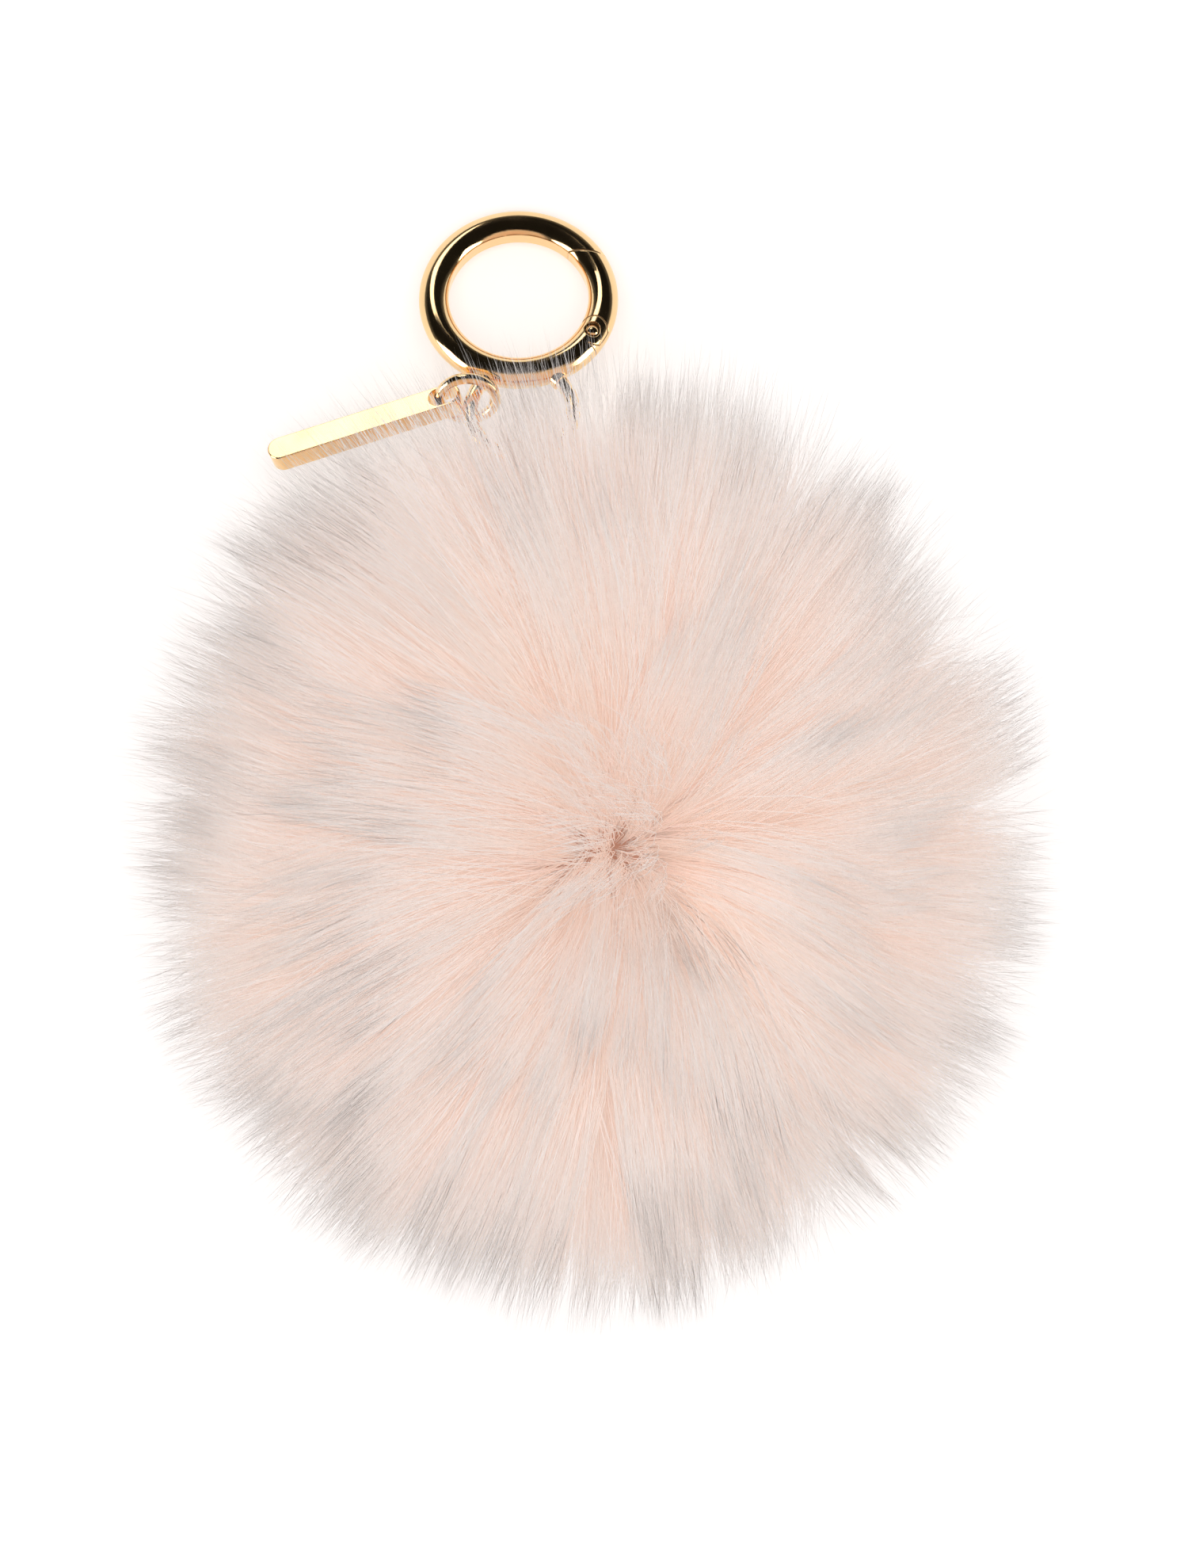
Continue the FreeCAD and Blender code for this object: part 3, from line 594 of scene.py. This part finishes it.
def coat_tree():
    """Hairs on the skin: gathered in tufts and locks, and cleared from under the clasp."""
    tree = new_tree(
        "coat",
        (("Skin mesh", "NodeSocketGeometry", None), ("Hair", "NodeSocketObject", None),
         ("Hairs to a square metre", "NodeSocketFloat", 1e6),
         ("Tufts to a square metre", "NodeSocketFloat", 4e5),
         ("Locks to a square metre", "NodeSocketFloat", 4e4),
         ("Width", "NodeSocketFloat", 0.0002), ("Clear lift", "NodeSocketFloat", 0.004),
         ("Focus", "NodeSocketFloat", 0.0),
         ("Seed", "NodeSocketInt", 1), ("Fur", "NodeSocketMaterial", None), *HAIR_SOCKETS),
        (("Coat", "NodeSocketGeometry"),))
    given = add(tree, "NodeGroupInput").outputs
    position = add(tree, "GeometryNodeInputPosition").outputs[0]
    facing = add(tree, "GeometryNodeInputNormal").outputs[0]
    up = add(tree, "ShaderNodeSeparateXYZ", {0: facing}).outputs["Z"]
    share = add(tree, "ShaderNodeMapRange", {0: up, 1: -1.0, 2: 1.0, 3: 0.6, 4: 1.4})
    toward = add(tree, "ShaderNodeVectorMath", {0: facing, 1: given["Crest way"]},
                 operation="DOT_PRODUCT")
    elsewhere = add(tree, "ShaderNodeMath", {0: 1.0, 1: given["Focus"]}, operation="SUBTRACT")
    near_clasp = add(tree, "ShaderNodeMapRange", {
        0: toward.outputs["Value"], 1: 0.8, 2: 0.92, 3: elsewhere.outputs[0], 4: 1.0})
    share = add(tree, "ShaderNodeMath", {0: share.outputs[0], 1: near_clasp.outputs[0]},
                operation="MULTIPLY")
    density = add(tree, "ShaderNodeMath", {
        0: share.outputs[0], 1: given["Hairs to a square metre"]}, operation="MULTIPLY")
    roots = add(tree, "GeometryNodeDistributePointsOnFaces", {
        "Mesh": given["Skin mesh"], "Density": density.outputs[0], "Seed": given["Seed"]})
    tufts = add(tree, "GeometryNodeDistributePointsOnFaces", {
        "Mesh": given["Skin mesh"], "Density": given["Tufts to a square metre"], "Seed": 71})
    locks = add(tree, "GeometryNodeDistributePointsOnFaces", {
        "Mesh": given["Skin mesh"], "Density": given["Locks to a square metre"], "Seed": 72})
    places = {"root": position}
    for name, source, near in (("tuft", tufts, "root"), ("lock", locks, "tuft")):
        nearest = add(tree, "GeometryNodeSampleNearest", {
            "Geometry": source.outputs["Points"], "Sample Position": places[near]})
        places[name] = add(tree, "GeometryNodeSampleIndex", {
            "Geometry": source.outputs["Points"], "Value": position,
            "Index": nearest.outputs[0]}, data_type="FLOAT_VECTOR").outputs[0]
    flow = roots.outputs["Points"]
    for name, place in places.items():
        local = add(tree, "ShaderNodeVectorMath", {
            0: place, 1: given["Centre"]}, operation="SUBTRACT")
        flow = add(tree, "GeometryNodeStoreNamedAttribute", {
            "Geometry": flow, "Name": name, "Value": local.outputs[0]},
            data_type="FLOAT_VECTOR").outputs[0]
    chance = add(tree, "FunctionNodeRandomValue", {"Seed": given["Seed"]},
                 data_type="FLOAT_VECTOR")
    flow = add(tree, "GeometryNodeStoreNamedAttribute", {
        "Geometry": flow, "Name": "chance", "Value": chance.outputs[0]},
        data_type="FLOAT_VECTOR").outputs[0]

    line = hair_line()
    passed = {name: given[name] for name, _, _ in HAIR_SOCKETS}
    for at in (0.75, 1.0):
        spot = tree.nodes.new("GeometryNodeGroup")
        spot.node_tree = line
        spot.inputs["Along"].default_value = at
        for name, socket in passed.items():
            tree.links.new(socket, spot.inputs[name])
        hidden = add(tree, "FunctionNodeCompare", {
            0: spot.outputs["Lift"], 1: given["Clear lift"]}, data_type="FLOAT",
            operation="GREATER_THAN")
        flow = add(tree, "GeometryNodeDeleteGeometry", {
            "Geometry": flow, "Selection": hidden.outputs[0]}, domain="POINT").outputs[0]

    pattern = add(tree, "GeometryNodeObjectInfo", {0: given["Hair"]})
    hairs = add(tree, "GeometryNodeInstanceOnPoints", {
        "Points": flow, "Instance": pattern.outputs["Geometry"]})
    real = add(tree, "GeometryNodeRealizeInstances", {0: hairs.outputs[0]})
    along = add(tree, "GeometryNodeInputNamedAttribute", {0: "along"}, data_type="FLOAT")
    side = add(tree, "GeometryNodeInputNamedAttribute", {0: "side"}, data_type="FLOAT_VECTOR")
    sides = add(tree, "ShaderNodeSeparateXYZ", {0: side.outputs[0]}).outputs
    spot = tree.nodes.new("GeometryNodeGroup")
    spot.node_tree = line
    tree.links.new(along.outputs[0], spot.inputs["Along"])
    for name, socket in passed.items():
        tree.links.new(socket, spot.inputs[name])
    place = spot.outputs["Position"]
    for axis, key in (("X", "Across"), ("Y", "Beyond")):
        offset = add(tree, "ShaderNodeMath", {0: sides[axis], 1: given["Width"]},
                     operation="MULTIPLY")
        step = add(tree, "ShaderNodeVectorMath", {
            0: spot.outputs[key], "Scale": offset.outputs[0]}, operation="SCALE")
        place = add(tree, "ShaderNodeVectorMath", {0: place, 1: step.outputs[0]},
                    operation="ADD").outputs[0]
    shaped = add(tree, "GeometryNodeSetPosition", {
        "Geometry": real.outputs[0], "Position": place})

    # own column of the UV map for each hair
    chance = add(tree, "GeometryNodeInputNamedAttribute", {0: "chance"},
                 data_type="FLOAT_VECTOR")
    pattern_uv = add(tree, "GeometryNodeInputNamedAttribute", {0: "OFBake"},
                     data_type="FLOAT_VECTOR")
    column = add(tree, "ShaderNodeVectorMath", {
        0: chance.outputs[0], 1: (0.95, 0.0, 0.0)}, operation="MULTIPLY")
    unwrapped = add(tree, "ShaderNodeVectorMath", {
        0: pattern_uv.outputs[0], 1: (0.03, 0.98, 0.0), 2: column.outputs[0]},
        operation="MULTIPLY_ADD")
    unwrapped = add(tree, "ShaderNodeVectorMath", {
        0: unwrapped.outputs[0], 1: (0.01, 0.01, 0.0)}, operation="ADD")
    flow = add(tree, "GeometryNodeStoreNamedAttribute", {
        "Geometry": shaped.outputs[0], "Name": "OFBake", "Value": unwrapped.outputs[0]},
        data_type="FLOAT2", domain="CORNER").outputs[0]
    for name in ("root", "tuft", "lock", "chance", "along", "side"):
        flow = add(tree, "GeometryNodeRemoveAttribute", {"Geometry": flow, "Name": name}
                   ).outputs[0]
    dyed = add(tree, "GeometryNodeSetMaterial", {"Geometry": flow, "Material": given["Fur"]})
    add(tree, "NodeGroupOutput", {0: dyed.outputs[0]})
    return tree


def ball_points(centre, radius, rings, sides, shape):
    """Points and faces of a closed ball whose radius is scaled by shape(direction)."""
    points, faces = [centre + Vector((0, 0, radius * shape(Vector((0, 0, 1)))))], []
    for i in range(1, rings):
        for j in range(sides):
            down, turn = math.pi * i / rings, 2 * math.pi * j / sides
            way = Vector((math.sin(down) * math.cos(turn), math.sin(down) * math.sin(turn),
                          math.cos(down)))
            points.append(centre + way * radius * shape(way))
    points.append(centre + Vector((0, 0, -radius * shape(Vector((0, 0, -1))))))
    last = len(points) - 1
    for j in range(sides):
        after = (j + 1) % sides
        faces.append((0, 1 + j, 1 + after))
        for i in range(rings - 2):
            here = 1 + i * sides
            faces.append((here + j, here + sides + j, here + sides + after, here + after))
        end = 1 + (rings - 2) * sides
        faces.append((end + j, last, end + after))
    return points, faces


def lay_coat(sizes):
    """All hair pieces: layers of wool, one of guard hair, and the collar over the clasp."""
    wool = dyed_fox_fur("dyed_fox_wool", sizes.root_colour, sizes.tip_colour, "#EFE3DE",
                        sizes.scatter)
    guard = dyed_fox_fur("dyed_fox_guard_hair", "#F6DDD2", "#FBF6F2", "#F0EBEB",
                         sizes.scatter)
    hair = one_hair()
    tree = coat_tree()
    area = 4 * math.pi * SKIN_R ** 2
    bar_low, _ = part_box("tag_bar")
    bail_low, bail_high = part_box("bail_loop")
    shared = {
        "Hair": hair, "Centre": BALL_CENTRE, "Whorl": Vector(sizes.whorl).normalized(),
        "Skin": SKIN_R, "Lay": sizes.lay, "Floor": FLOOR_Z,
        "Crest way": Vector((0.0, 0.9, 0.4)).normalized(),
        "Locks to a square metre": 260 / area,
        "Shelf": bail_high[2], "Shelf left": bar_low[0],
        "Shelf right": bail_high[0] + 3 * MM, "Shelf front": bail_low[1] - 6 * MM,
    }
    coats = {}
    for layer in range(sizes.layers):
        coats[f"coat_wool_{layer + 1}"] = {
            "Seed": 10 + layer, "Fur": wool, "Width": sizes.hair_width, "Reach": sizes.reach,
            "Hairs to a square metre": sizes.wool_per_layer / area,
            "Tufts to a square metre": 3200 / area,
            "Tuft pull": 0.6, "Lock pull": 0.45, "Stray": 0.36, "Spread": 0.10,
            "Swirl": 0.65, "Crest": 0.055, "Wave": 1.6 * MM, "Clear lift": 4 * MM}
    coats["coat_guard_1"] = {
        "Seed": 40, "Fur": guard, "Width": sizes.guard_width, "Reach": sizes.guard_reach,
        "Hairs to a square metre": sizes.guard_hairs / area,
        "Tufts to a square metre": 900 / area,
        "Tuft pull": 0.3, "Lock pull": 0.35, "Stray": 0.6, "Spread": 0.05, "Lay": 0.42,
        "Swirl": 0.8, "Crest": 0.10, "Wave": 2.2 * MM, "Clear lift": 5 * MM}
    coats["coat_collar"] = {
        "Seed": 50, "Fur": guard, "Width": 0.18 * MM, "Reach": sizes.collar_reach,
        "Hairs to a square metre": sizes.collar_hairs / area, "Focus": 1.0,
        "Tufts to a square metre": 900 / area,
        "Tuft pull": 0.05, "Lock pull": 0.05, "Stray": 0.9, "Spread": 0.08, "Lay": 0.34,
        "Swirl": 0.8, "Crest": 0.05, "Wave": 1.2 * MM, "Clear lift": 6 * MM}
    for name, own in coats.items():
        points, faces = ball_points(BALL_CENTRE, SKIN_R - 0.4 * MM, 24, 48, lambda way: 1.0)
        coat = mesh_object(name, points, faces)
        grow(coat, tree, {**shared, **own})
        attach(coat, "pom")
        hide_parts("fur_pile")
    bpy.data.objects.remove(hair)


# ---- pelt, stuffing, strap -------------------------------------------------------------

def stuffed_pelt():
    """Leather skin of the ball, drawn into pleats towards its gathered neck."""
    tilt = Vector((0, 0, 1)).rotation_difference(NECK_AXIS).to_matrix().to_4x4()
    place = Matrix.Translation(BALL_CENTRE) @ tilt
    profile = [(0.0, -SKIN_R)]
    for step in range(1, 34):
        turn = math.pi * (1 - step / 34 * 0.94)
        profile.append((SKIN_R * math.sin(turn), SKIN_R * math.cos(turn)))
    profile += [(NECK_R, NECK_REACH), (NECK_R + 0.5 * MM, NECK_REACH + 1.4 * MM)]
    sides, pleats = 144, 18
    points, faces = [Vector((0, 0, -SKIN_R))], []
    for radius, height in profile[1:]:
        draw = max(0.0, height / SKIN_R) ** 3
        for j in range(sides):
            turn = 2 * math.pi * j / sides
            fold = 1 + 0.05 * draw * math.cos(pleats * turn + 0.6 * math.sin(3 * turn))
            points.append(Vector((radius * fold * math.cos(turn),
                                  radius * fold * math.sin(turn), height)))
    rows = len(profile) - 1
    for j in range(sides):
        after = (j + 1) % sides
        faces.append((0, 1 + after, 1 + j))
        for i in range(rows - 1):
            here = 1 + i * sides
            faces.append((here + j, here + after, here + sides + after, here + sides + j))
    pelt = mesh_object("pelt_skin", [place @ p for p in points], faces)
    wall = pelt.modifiers.new("wall", "SOLIDIFY")
    wall.thickness = 1.0 * MM
    wall.offset = -1.0
    keep_shape(pelt)
    pelt.data.materials.append(dyed_leather("lamb_suede_pelt", "#E9C4B2", "#D9AE99", 0.5 * MM))
    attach(pelt, "pom")
    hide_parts("pelt_shell")


def wadding():
    """Lumpy ball of wadding inside the pelt."""
    def lumps(way):
        return 0.985 + 0.012 * math.sin(9 * way.x + 4 * way.z) * math.cos(8 * way.y - 3 * way.x)
    points, faces = ball_points(BALL_CENTRE, STUFFING_R, 40, 80, lumps)
    ball = mesh_object("wadding_ball", points, faces)
    ball.data.materials.append(polyester_wadding("carded_polyester_wadding"))
    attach(ball, "pom")
    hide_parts("stuffing_ball")


def softened(name, node, body, material, radius):
    """Merged copy of a node with its edges rounded by radius, standing for that node."""
    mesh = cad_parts[node].data.copy()
    mesh.materials.clear()
    shape = bmesh.new()
    shape.from_mesh(mesh)
    bmesh.ops.remove_doubles(shape, verts=shape.verts, dist=0.001 * MM)
    bmesh.ops.dissolve_limit(
        shape, angle_limit=0.02, verts=shape.verts, edges=shape.edges)
    shape.to_mesh(mesh)
    shape.free()
    piece = new_object(name, mesh)
    rounding = piece.modifiers.new("rounding", "BEVEL")
    rounding.width = radius
    rounding.segments = 3
    rounding.angle_limit = math.radians(40)
    rounding.harden_normals = True
    keep_shape(piece)
    piece.data.materials.append(material)
    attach(piece, body)
    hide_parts(node)
    return piece


def wind_spring(steel):
    """Plunger's spring: a rounded copy of the spring node, with a mesh of its own."""
    coil = softened("spring_coil", "gate_spring", "clasp", steel, 0.03 * MM)
    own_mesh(coil)


def thread_tree():
    """Thread of three twisted plies along a path, laid at each place with that place's turn."""
    tree = new_tree(
        "thread",
        (("Places", "NodeSocketGeometry", None), ("Path", "NodeSocketObject", None),
         ("Radius", "NodeSocketFloat", 0.0004), ("Twists", "NodeSocketFloat", 20.0),
         ("Ply depth", "NodeSocketFloat", 0.14), ("Thread", "NodeSocketMaterial", None)),
        (("Laid", "NodeSocketGeometry"),))
    given = add(tree, "NodeGroupInput").outputs
    at = add(tree, "GeometryNodeSplineParameter").outputs["Factor"]
    route = add(tree, "GeometryNodeObjectInfo", {0: given["Path"]})
    line = add(tree, "GeometryNodeMeshToCurve", {0: route.outputs["Geometry"]})
    twists = add(tree, "ShaderNodeMath", {0: given["Twists"], 1: 2 * math.pi},
                 operation="MULTIPLY")
    turned = add(tree, "ShaderNodeMath", {0: at, 1: twists.outputs[0]}, operation="MULTIPLY")
    line = add(tree, "GeometryNodeSetCurveTilt", {
        "Curve": line.outputs[0], "Tilt": turned.outputs[0]})
    outline = add(tree, "GeometryNodeCurvePrimitiveCircle", {
        "Resolution": 12, "Radius": given["Radius"]})
    around = add(tree, "ShaderNodeMath", {0: at, 1: 6 * math.pi}, operation="MULTIPLY")
    lobes = add(tree, "ShaderNodeMath", {0: around.outputs[0]}, operation="COSINE")
    lobes = add(tree, "ShaderNodeMath", {0: lobes.outputs[0], 1: 1.0}, operation="SUBTRACT")
    lobes = add(tree, "ShaderNodeMath", {
        0: lobes.outputs[0], 1: given["Ply depth"], 2: 1.0}, operation="MULTIPLY_ADD")
    position = add(tree, "GeometryNodeInputPosition").outputs[0]
    place = add(tree, "ShaderNodeVectorMath", {0: position, "Scale": lobes.outputs[0]},
                operation="SCALE")
    outline = add(tree, "GeometryNodeSetPosition", {
        "Geometry": outline.outputs[0], "Position": place.outputs[0]})
    one = add(tree, "GeometryNodeCurveToMesh", {
        "Curve": line.outputs[0], "Profile Curve": outline.outputs[0], "Fill Caps": True})
    turn = add(tree, "GeometryNodeInputNamedAttribute", {0: "turn"}, data_type="FLOAT_VECTOR")
    turn = add(tree, "FunctionNodeEulerToRotation", {0: turn.outputs[0]})
    laid = add(tree, "GeometryNodeInstanceOnPoints", {
        "Points": given["Places"], "Instance": one.outputs[0], "Rotation": turn.outputs[0]})
    real = add(tree, "GeometryNodeRealizeInstances", {0: laid.outputs[0]})
    waxed = add(tree, "GeometryNodeSetMaterial", {
        "Geometry": real.outputs[0], "Material": given["Thread"]})
    add(tree, "NodeGroupOutput", {0: waxed.outputs[0]})
    return tree


def lay_thread(name, node, body, tree, places, turns, route, closed, values):
    """Thread piece that stands for a node: its route, closed or open, at each place."""
    path = bpy.data.meshes.new("route")
    edges = [(i, i + 1) for i in range(len(route) - 1)]
    if closed:
        edges.append((len(route) - 1, 0))
    path.from_pydata(route, edges, [])
    guide = new_object("route", path)
    piece = mesh_object(name, places, [])
    turn = piece.data.attributes.new("turn", "FLOAT_VECTOR", "POINT")
    turn.data.foreach_set("vector", [c for euler in turns for c in euler])
    grow(piece, tree, {"Path": guide, **values})
    bpy.data.objects.remove(guide)
    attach(piece, body)
    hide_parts(node)


def span_of(node, way):
    """Lowest and highest place of a node along a direction."""
    marks = [way.dot(v.co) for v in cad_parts[node].data.vertices]
    return min(marks), max(marks)


def gathering(tree, thread):
    """Three tight turns of thread around the pelt's neck."""
    side = Vector((0, 0, 1)).cross(NECK_AXIS).normalized()
    low, high = span_of("gathering_thread", side)
    turn_r = (high - low) / 2 - THREAD_R
    low, high = span_of("gathering_thread", NECK_AXIS)
    step = (high - low) / 2 - THREAD_R
    places = [middle("gathering_thread") + NECK_AXIS * step * k for k in (-1, 0, 1)]
    tilt = Vector((0, 0, 1)).rotation_difference(NECK_AXIS).to_euler()
    corners = 120
    around = [2 * math.pi * i / corners for i in range(corners)]
    route = [(turn_r * math.cos(a), turn_r * math.sin(a), 0.0) for a in around]
    lay_thread("gathering_turns", "gathering_thread", "pom", tree, places, [tilt] * 3, route,
               True, {"Radius": THREAD_R, "Twists": 12.0, "Thread": thread})


def stitching(tree, thread):
    """Rows of stitches on both faces of the strap, their ends sunk into the leather."""
    across = (Vector((1, 0, 0)) - NECK_AXIS * NECK_AXIS.x).normalized()
    face = NECK_AXIS.cross(across)
    axes = Matrix((across, face, across.cross(face))).transposed()
    centre = middle("strap_stitching")
    on_axis = centre - NECK_AXIS * NECK_AXIS.dot(centre) - face * face.dot(centre)
    nearest, farthest = span_of("strap_stitching", NECK_AXIS)
    first, last = nearest + STITCH_R, farthest - STITCH_R
    under, upper = span_of("strap_stitching", face)
    left, right = span_of("strap_stitching", across)
    places, turns = [], []
    for flip, level in ((math.pi, under + STITCH_R), (0.0, upper - STITCH_R)):
        for row in range(STITCH_ROWS):
            along = first + (last - first) * row / (STITCH_ROWS - 1)
            places.append(on_axis + NECK_AXIS * along + face * level)
            turns.append((axes @ Matrix.Rotation(flip, 3, "X")).to_euler())
    route = [((right - left) / 2 * t, -1.5 * STITCH_R * t ** 4, 0.0)
             for t in (k / 8 for k in range(-8, 9))]
    lay_thread("strap_stitches", "strap_stitching", "strap", tree, places, turns, route,
               False, {"Radius": STITCH_R, "Twists": 2.0, "Thread": thread})


# ---- operators -------------------------------------------------------------------------

class CHARM_OT_coat(bpy.types.Operator):
    """Grow the coat of wool and guard hair"""
    bl_idname = "charm.coat"
    bl_label = "Coat"

    def execute(self, context):
        lay_coat(context.scene.charm_coat)
        return {"FINISHED"}


class CHARM_OT_pelt(bpy.types.Operator):
    """Sew the pelt and stuff it"""
    bl_idname = "charm.pelt"
    bl_label = "Pelt and stuffing"

    def execute(self, context):
        stuffed_pelt()
        wadding()
        return {"FINISHED"}


class CHARM_OT_strap(bpy.types.Operator):
    """Round the leather strap and its end, and lay its thread"""
    bl_idname = "charm.strap"
    bl_label = "Strap and threads"

    def execute(self, context):
        leather = dyed_leather("dyed_lamb_strap", "#D9B4A2", "#C49A86", 0.35 * MM)
        softened("strap_band", "hanger_strap", "strap", leather, 0.18 * MM)
        softened("strap_end", "strap_root", "pom", leather, 0.18 * MM)
        thread = waxed_thread("waxed_polyester_thread", "#E3C6B8", 0.35 * MM)
        tree = thread_tree()
        gathering(tree, thread)
        stitching(tree, thread)
        return {"FINISHED"}


class CHARM_OT_clasp(bpy.types.Operator):
    """Plate the clip ring, wires, pin and tag, and finish the plunger and spring"""
    bl_idname = "charm.clasp"
    bl_label = "Clasp and tag"

    def execute(self, context):
        finish = context.scene.charm_clasp
        cast = polished_gilt("polished_gilt_casting", finish.gilt, finish.roughness)
        wire = polished_gilt("polished_gilt_wire", finish.gilt, finish.roughness)
        bar = polished_gilt("polished_gilt_bar", finish.gilt, finish.roughness, 0.05)
        steel = ground_steel("ground_spring_steel")
        finishes = {
            "ring_body": cast, "gate": cast, "hinge_pin": cast, "bail_loop": wire,
            "tag_link_ring": wire, "tag_bar": bar, "gate_plunger": steel}
        for node, material in finishes.items():
            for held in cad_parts[node].material_slots:
                held.material = material
        wind_spring(steel)
        return {"FINISHED"}


class CHARM_OT_studio(bpy.types.Operator):
    """Lay the table, set the lamps and place the camera"""
    bl_idname = "charm.studio"
    bl_label = "Studio"

    def execute(self, context):
        sizes = context.scene.charm_studio
        lay_table()
        hang_lamps(sizes)
        place_camera(sizes)
        return {"FINISHED"}


def lay_table():
    """Plain pale table top, 0.2 mm below the charm so that their faces don't meet."""
    span = 2.5
    corners = [(-span, -span, FLOOR_Z), (span, -span, FLOOR_Z), (span, span, FLOOR_Z),
               (-span, span, FLOOR_Z)]
    table = mesh_object("table", [Vector(c) - Vector((0, 0, 0.2 * MM)) for c in corners],
                        [(0, 1, 2, 3)], smooth=False)
    table.data.materials.append(opal_acrylic("opal_acrylic_table"))


def hang_lamps(sizes):
    """Soft side lamps seen only in the plating, an overhead lamp that lights only what is
    matt, and air that the plating sees fade to dark overhead and all else sees as even."""
    for label, azimuth, elevation, size, share in (
            ("lamp_left", 198, 20, 0.5, 1.0), ("lamp_right", 342, 20, 0.5, 1.0),
            ("lamp_back", 108, 24, 0.32, 0.19)):
        light = bpy.data.lights.new(label, "AREA")
        light.shape = "SQUARE"
        light.size = size
        light.energy = sizes.lamp_power * share
        lamp = bpy.data.objects.new(label, light)
        turn, rise = math.radians(azimuth), math.radians(elevation)
        way = Vector((math.cos(turn) * math.cos(rise), math.sin(turn) * math.cos(rise),
                      math.sin(rise)))
        lamp.location = way * 0.9
        lamp.rotation_euler = way.to_track_quat("Z", "Y").to_euler()
        lamp.visible_diffuse = False
        bpy.context.scene.collection.objects.link(lamp)
    light = bpy.data.lights.new("lamp_overhead", "AREA")
    light.shape = "SQUARE"
    light.size = 1.2
    light.energy = sizes.overhead_power
    lamp = bpy.data.objects.new("lamp_overhead", light)
    lamp.location = (0.0, 0.0, 1.9)
    lamp.visible_glossy = False
    bpy.context.scene.collection.objects.link(lamp)
    world = bpy.data.worlds.new("studio_air")
    world.use_nodes = True
    world.node_tree.nodes.clear()
    way = add(world.node_tree, "ShaderNodeTexCoord")
    way = add(world.node_tree, "ShaderNodeSeparateXYZ", {0: way.outputs["Generated"]})
    fade = add(world.node_tree, "ShaderNodeMapRange", {
        0: way.outputs["Z"], 1: 0.0, 2: 0.35, 3: 0.15, 4: 0.01}, interpolation_type="SMOOTHSTEP")
    rays = add(world.node_tree, "ShaderNodeLightPath")
    seen = add(world.node_tree, "ShaderNodeMix", {
        0: rays.outputs["Is Glossy Ray"], 2: 0.65, 3: fade.outputs[0]}, data_type="FLOAT")
    sky = add(world.node_tree, "ShaderNodeBackground", {1: seen.outputs[0]})
    add(world.node_tree, "ShaderNodeOutputWorld", {0: sky.outputs[0]})
    bpy.context.scene.world = world
    bpy.context.scene.view_settings.view_transform = "Standard"
    bpy.context.scene.cycles.diffuse_bounces = 8


def place_camera(sizes):
    """Camera straight above the charm, with the ring at the top of the picture."""
    lens = bpy.data.cameras.new("camera")
    lens.sensor_fit = "VERTICAL"
    lens.sensor_height = 36.0
    lens.sensor_width = 36.0 * ASPECT
    ring_level = middle("ring_body").z
    lens.lens = lens.sensor_height * (sizes.camera_height - ring_level) / sizes.view_height
    camera = bpy.data.objects.new("camera", lens)
    camera.location = (*sizes.aim, sizes.camera_height)
    bpy.context.scene.collection.objects.link(camera)
    bpy.context.scene.camera = camera


class CHARM_PT_build(bpy.types.Panel):
    """Buttons and sizes in the sidebar"""
    bl_idname = "CHARM_PT_build"
    bl_label = "Fur charm"
    bl_space_type = "VIEW_3D"
    bl_region_type = "UI"
    bl_category = "Fur charm"

    def draw(self, context):
        for held in (context.scene.charm_coat, context.scene.charm_clasp,
                     context.scene.charm_studio):
            box = self.layout.box()
            for name in held.__annotations__:
                box.prop(held, name)
        for step in STEPS:
            self.layout.operator(step.bl_idname)


STEPS = (CHARM_OT_coat, CHARM_OT_pelt, CHARM_OT_strap, CHARM_OT_clasp, CHARM_OT_studio)
GROUPS = {"charm_coat": CoatSizes, "charm_clasp": ClaspFinish, "charm_studio": StudioSizes}


def register():
    for group in (*GROUPS.values(), *STEPS, CHARM_PT_build):
        bpy.utils.register_class(group)
    for name, group in GROUPS.items():
        setattr(bpy.types.Scene, name, bpy.props.PointerProperty(type=group))


def unregister():
    for name in GROUPS:
        delattr(bpy.types.Scene, name)
    for group in (CHARM_PT_build, *STEPS, *GROUPS.values()):
        bpy.utils.unregister_class(group)


def main():
    register()
    bpy.ops.charm.coat()
    bpy.ops.charm.pelt()
    bpy.ops.charm.strap()
    bpy.ops.charm.clasp()
    bpy.ops.charm.studio()
    bpy.context.view_layer.update()


if __name__ == "__main__":
    main()
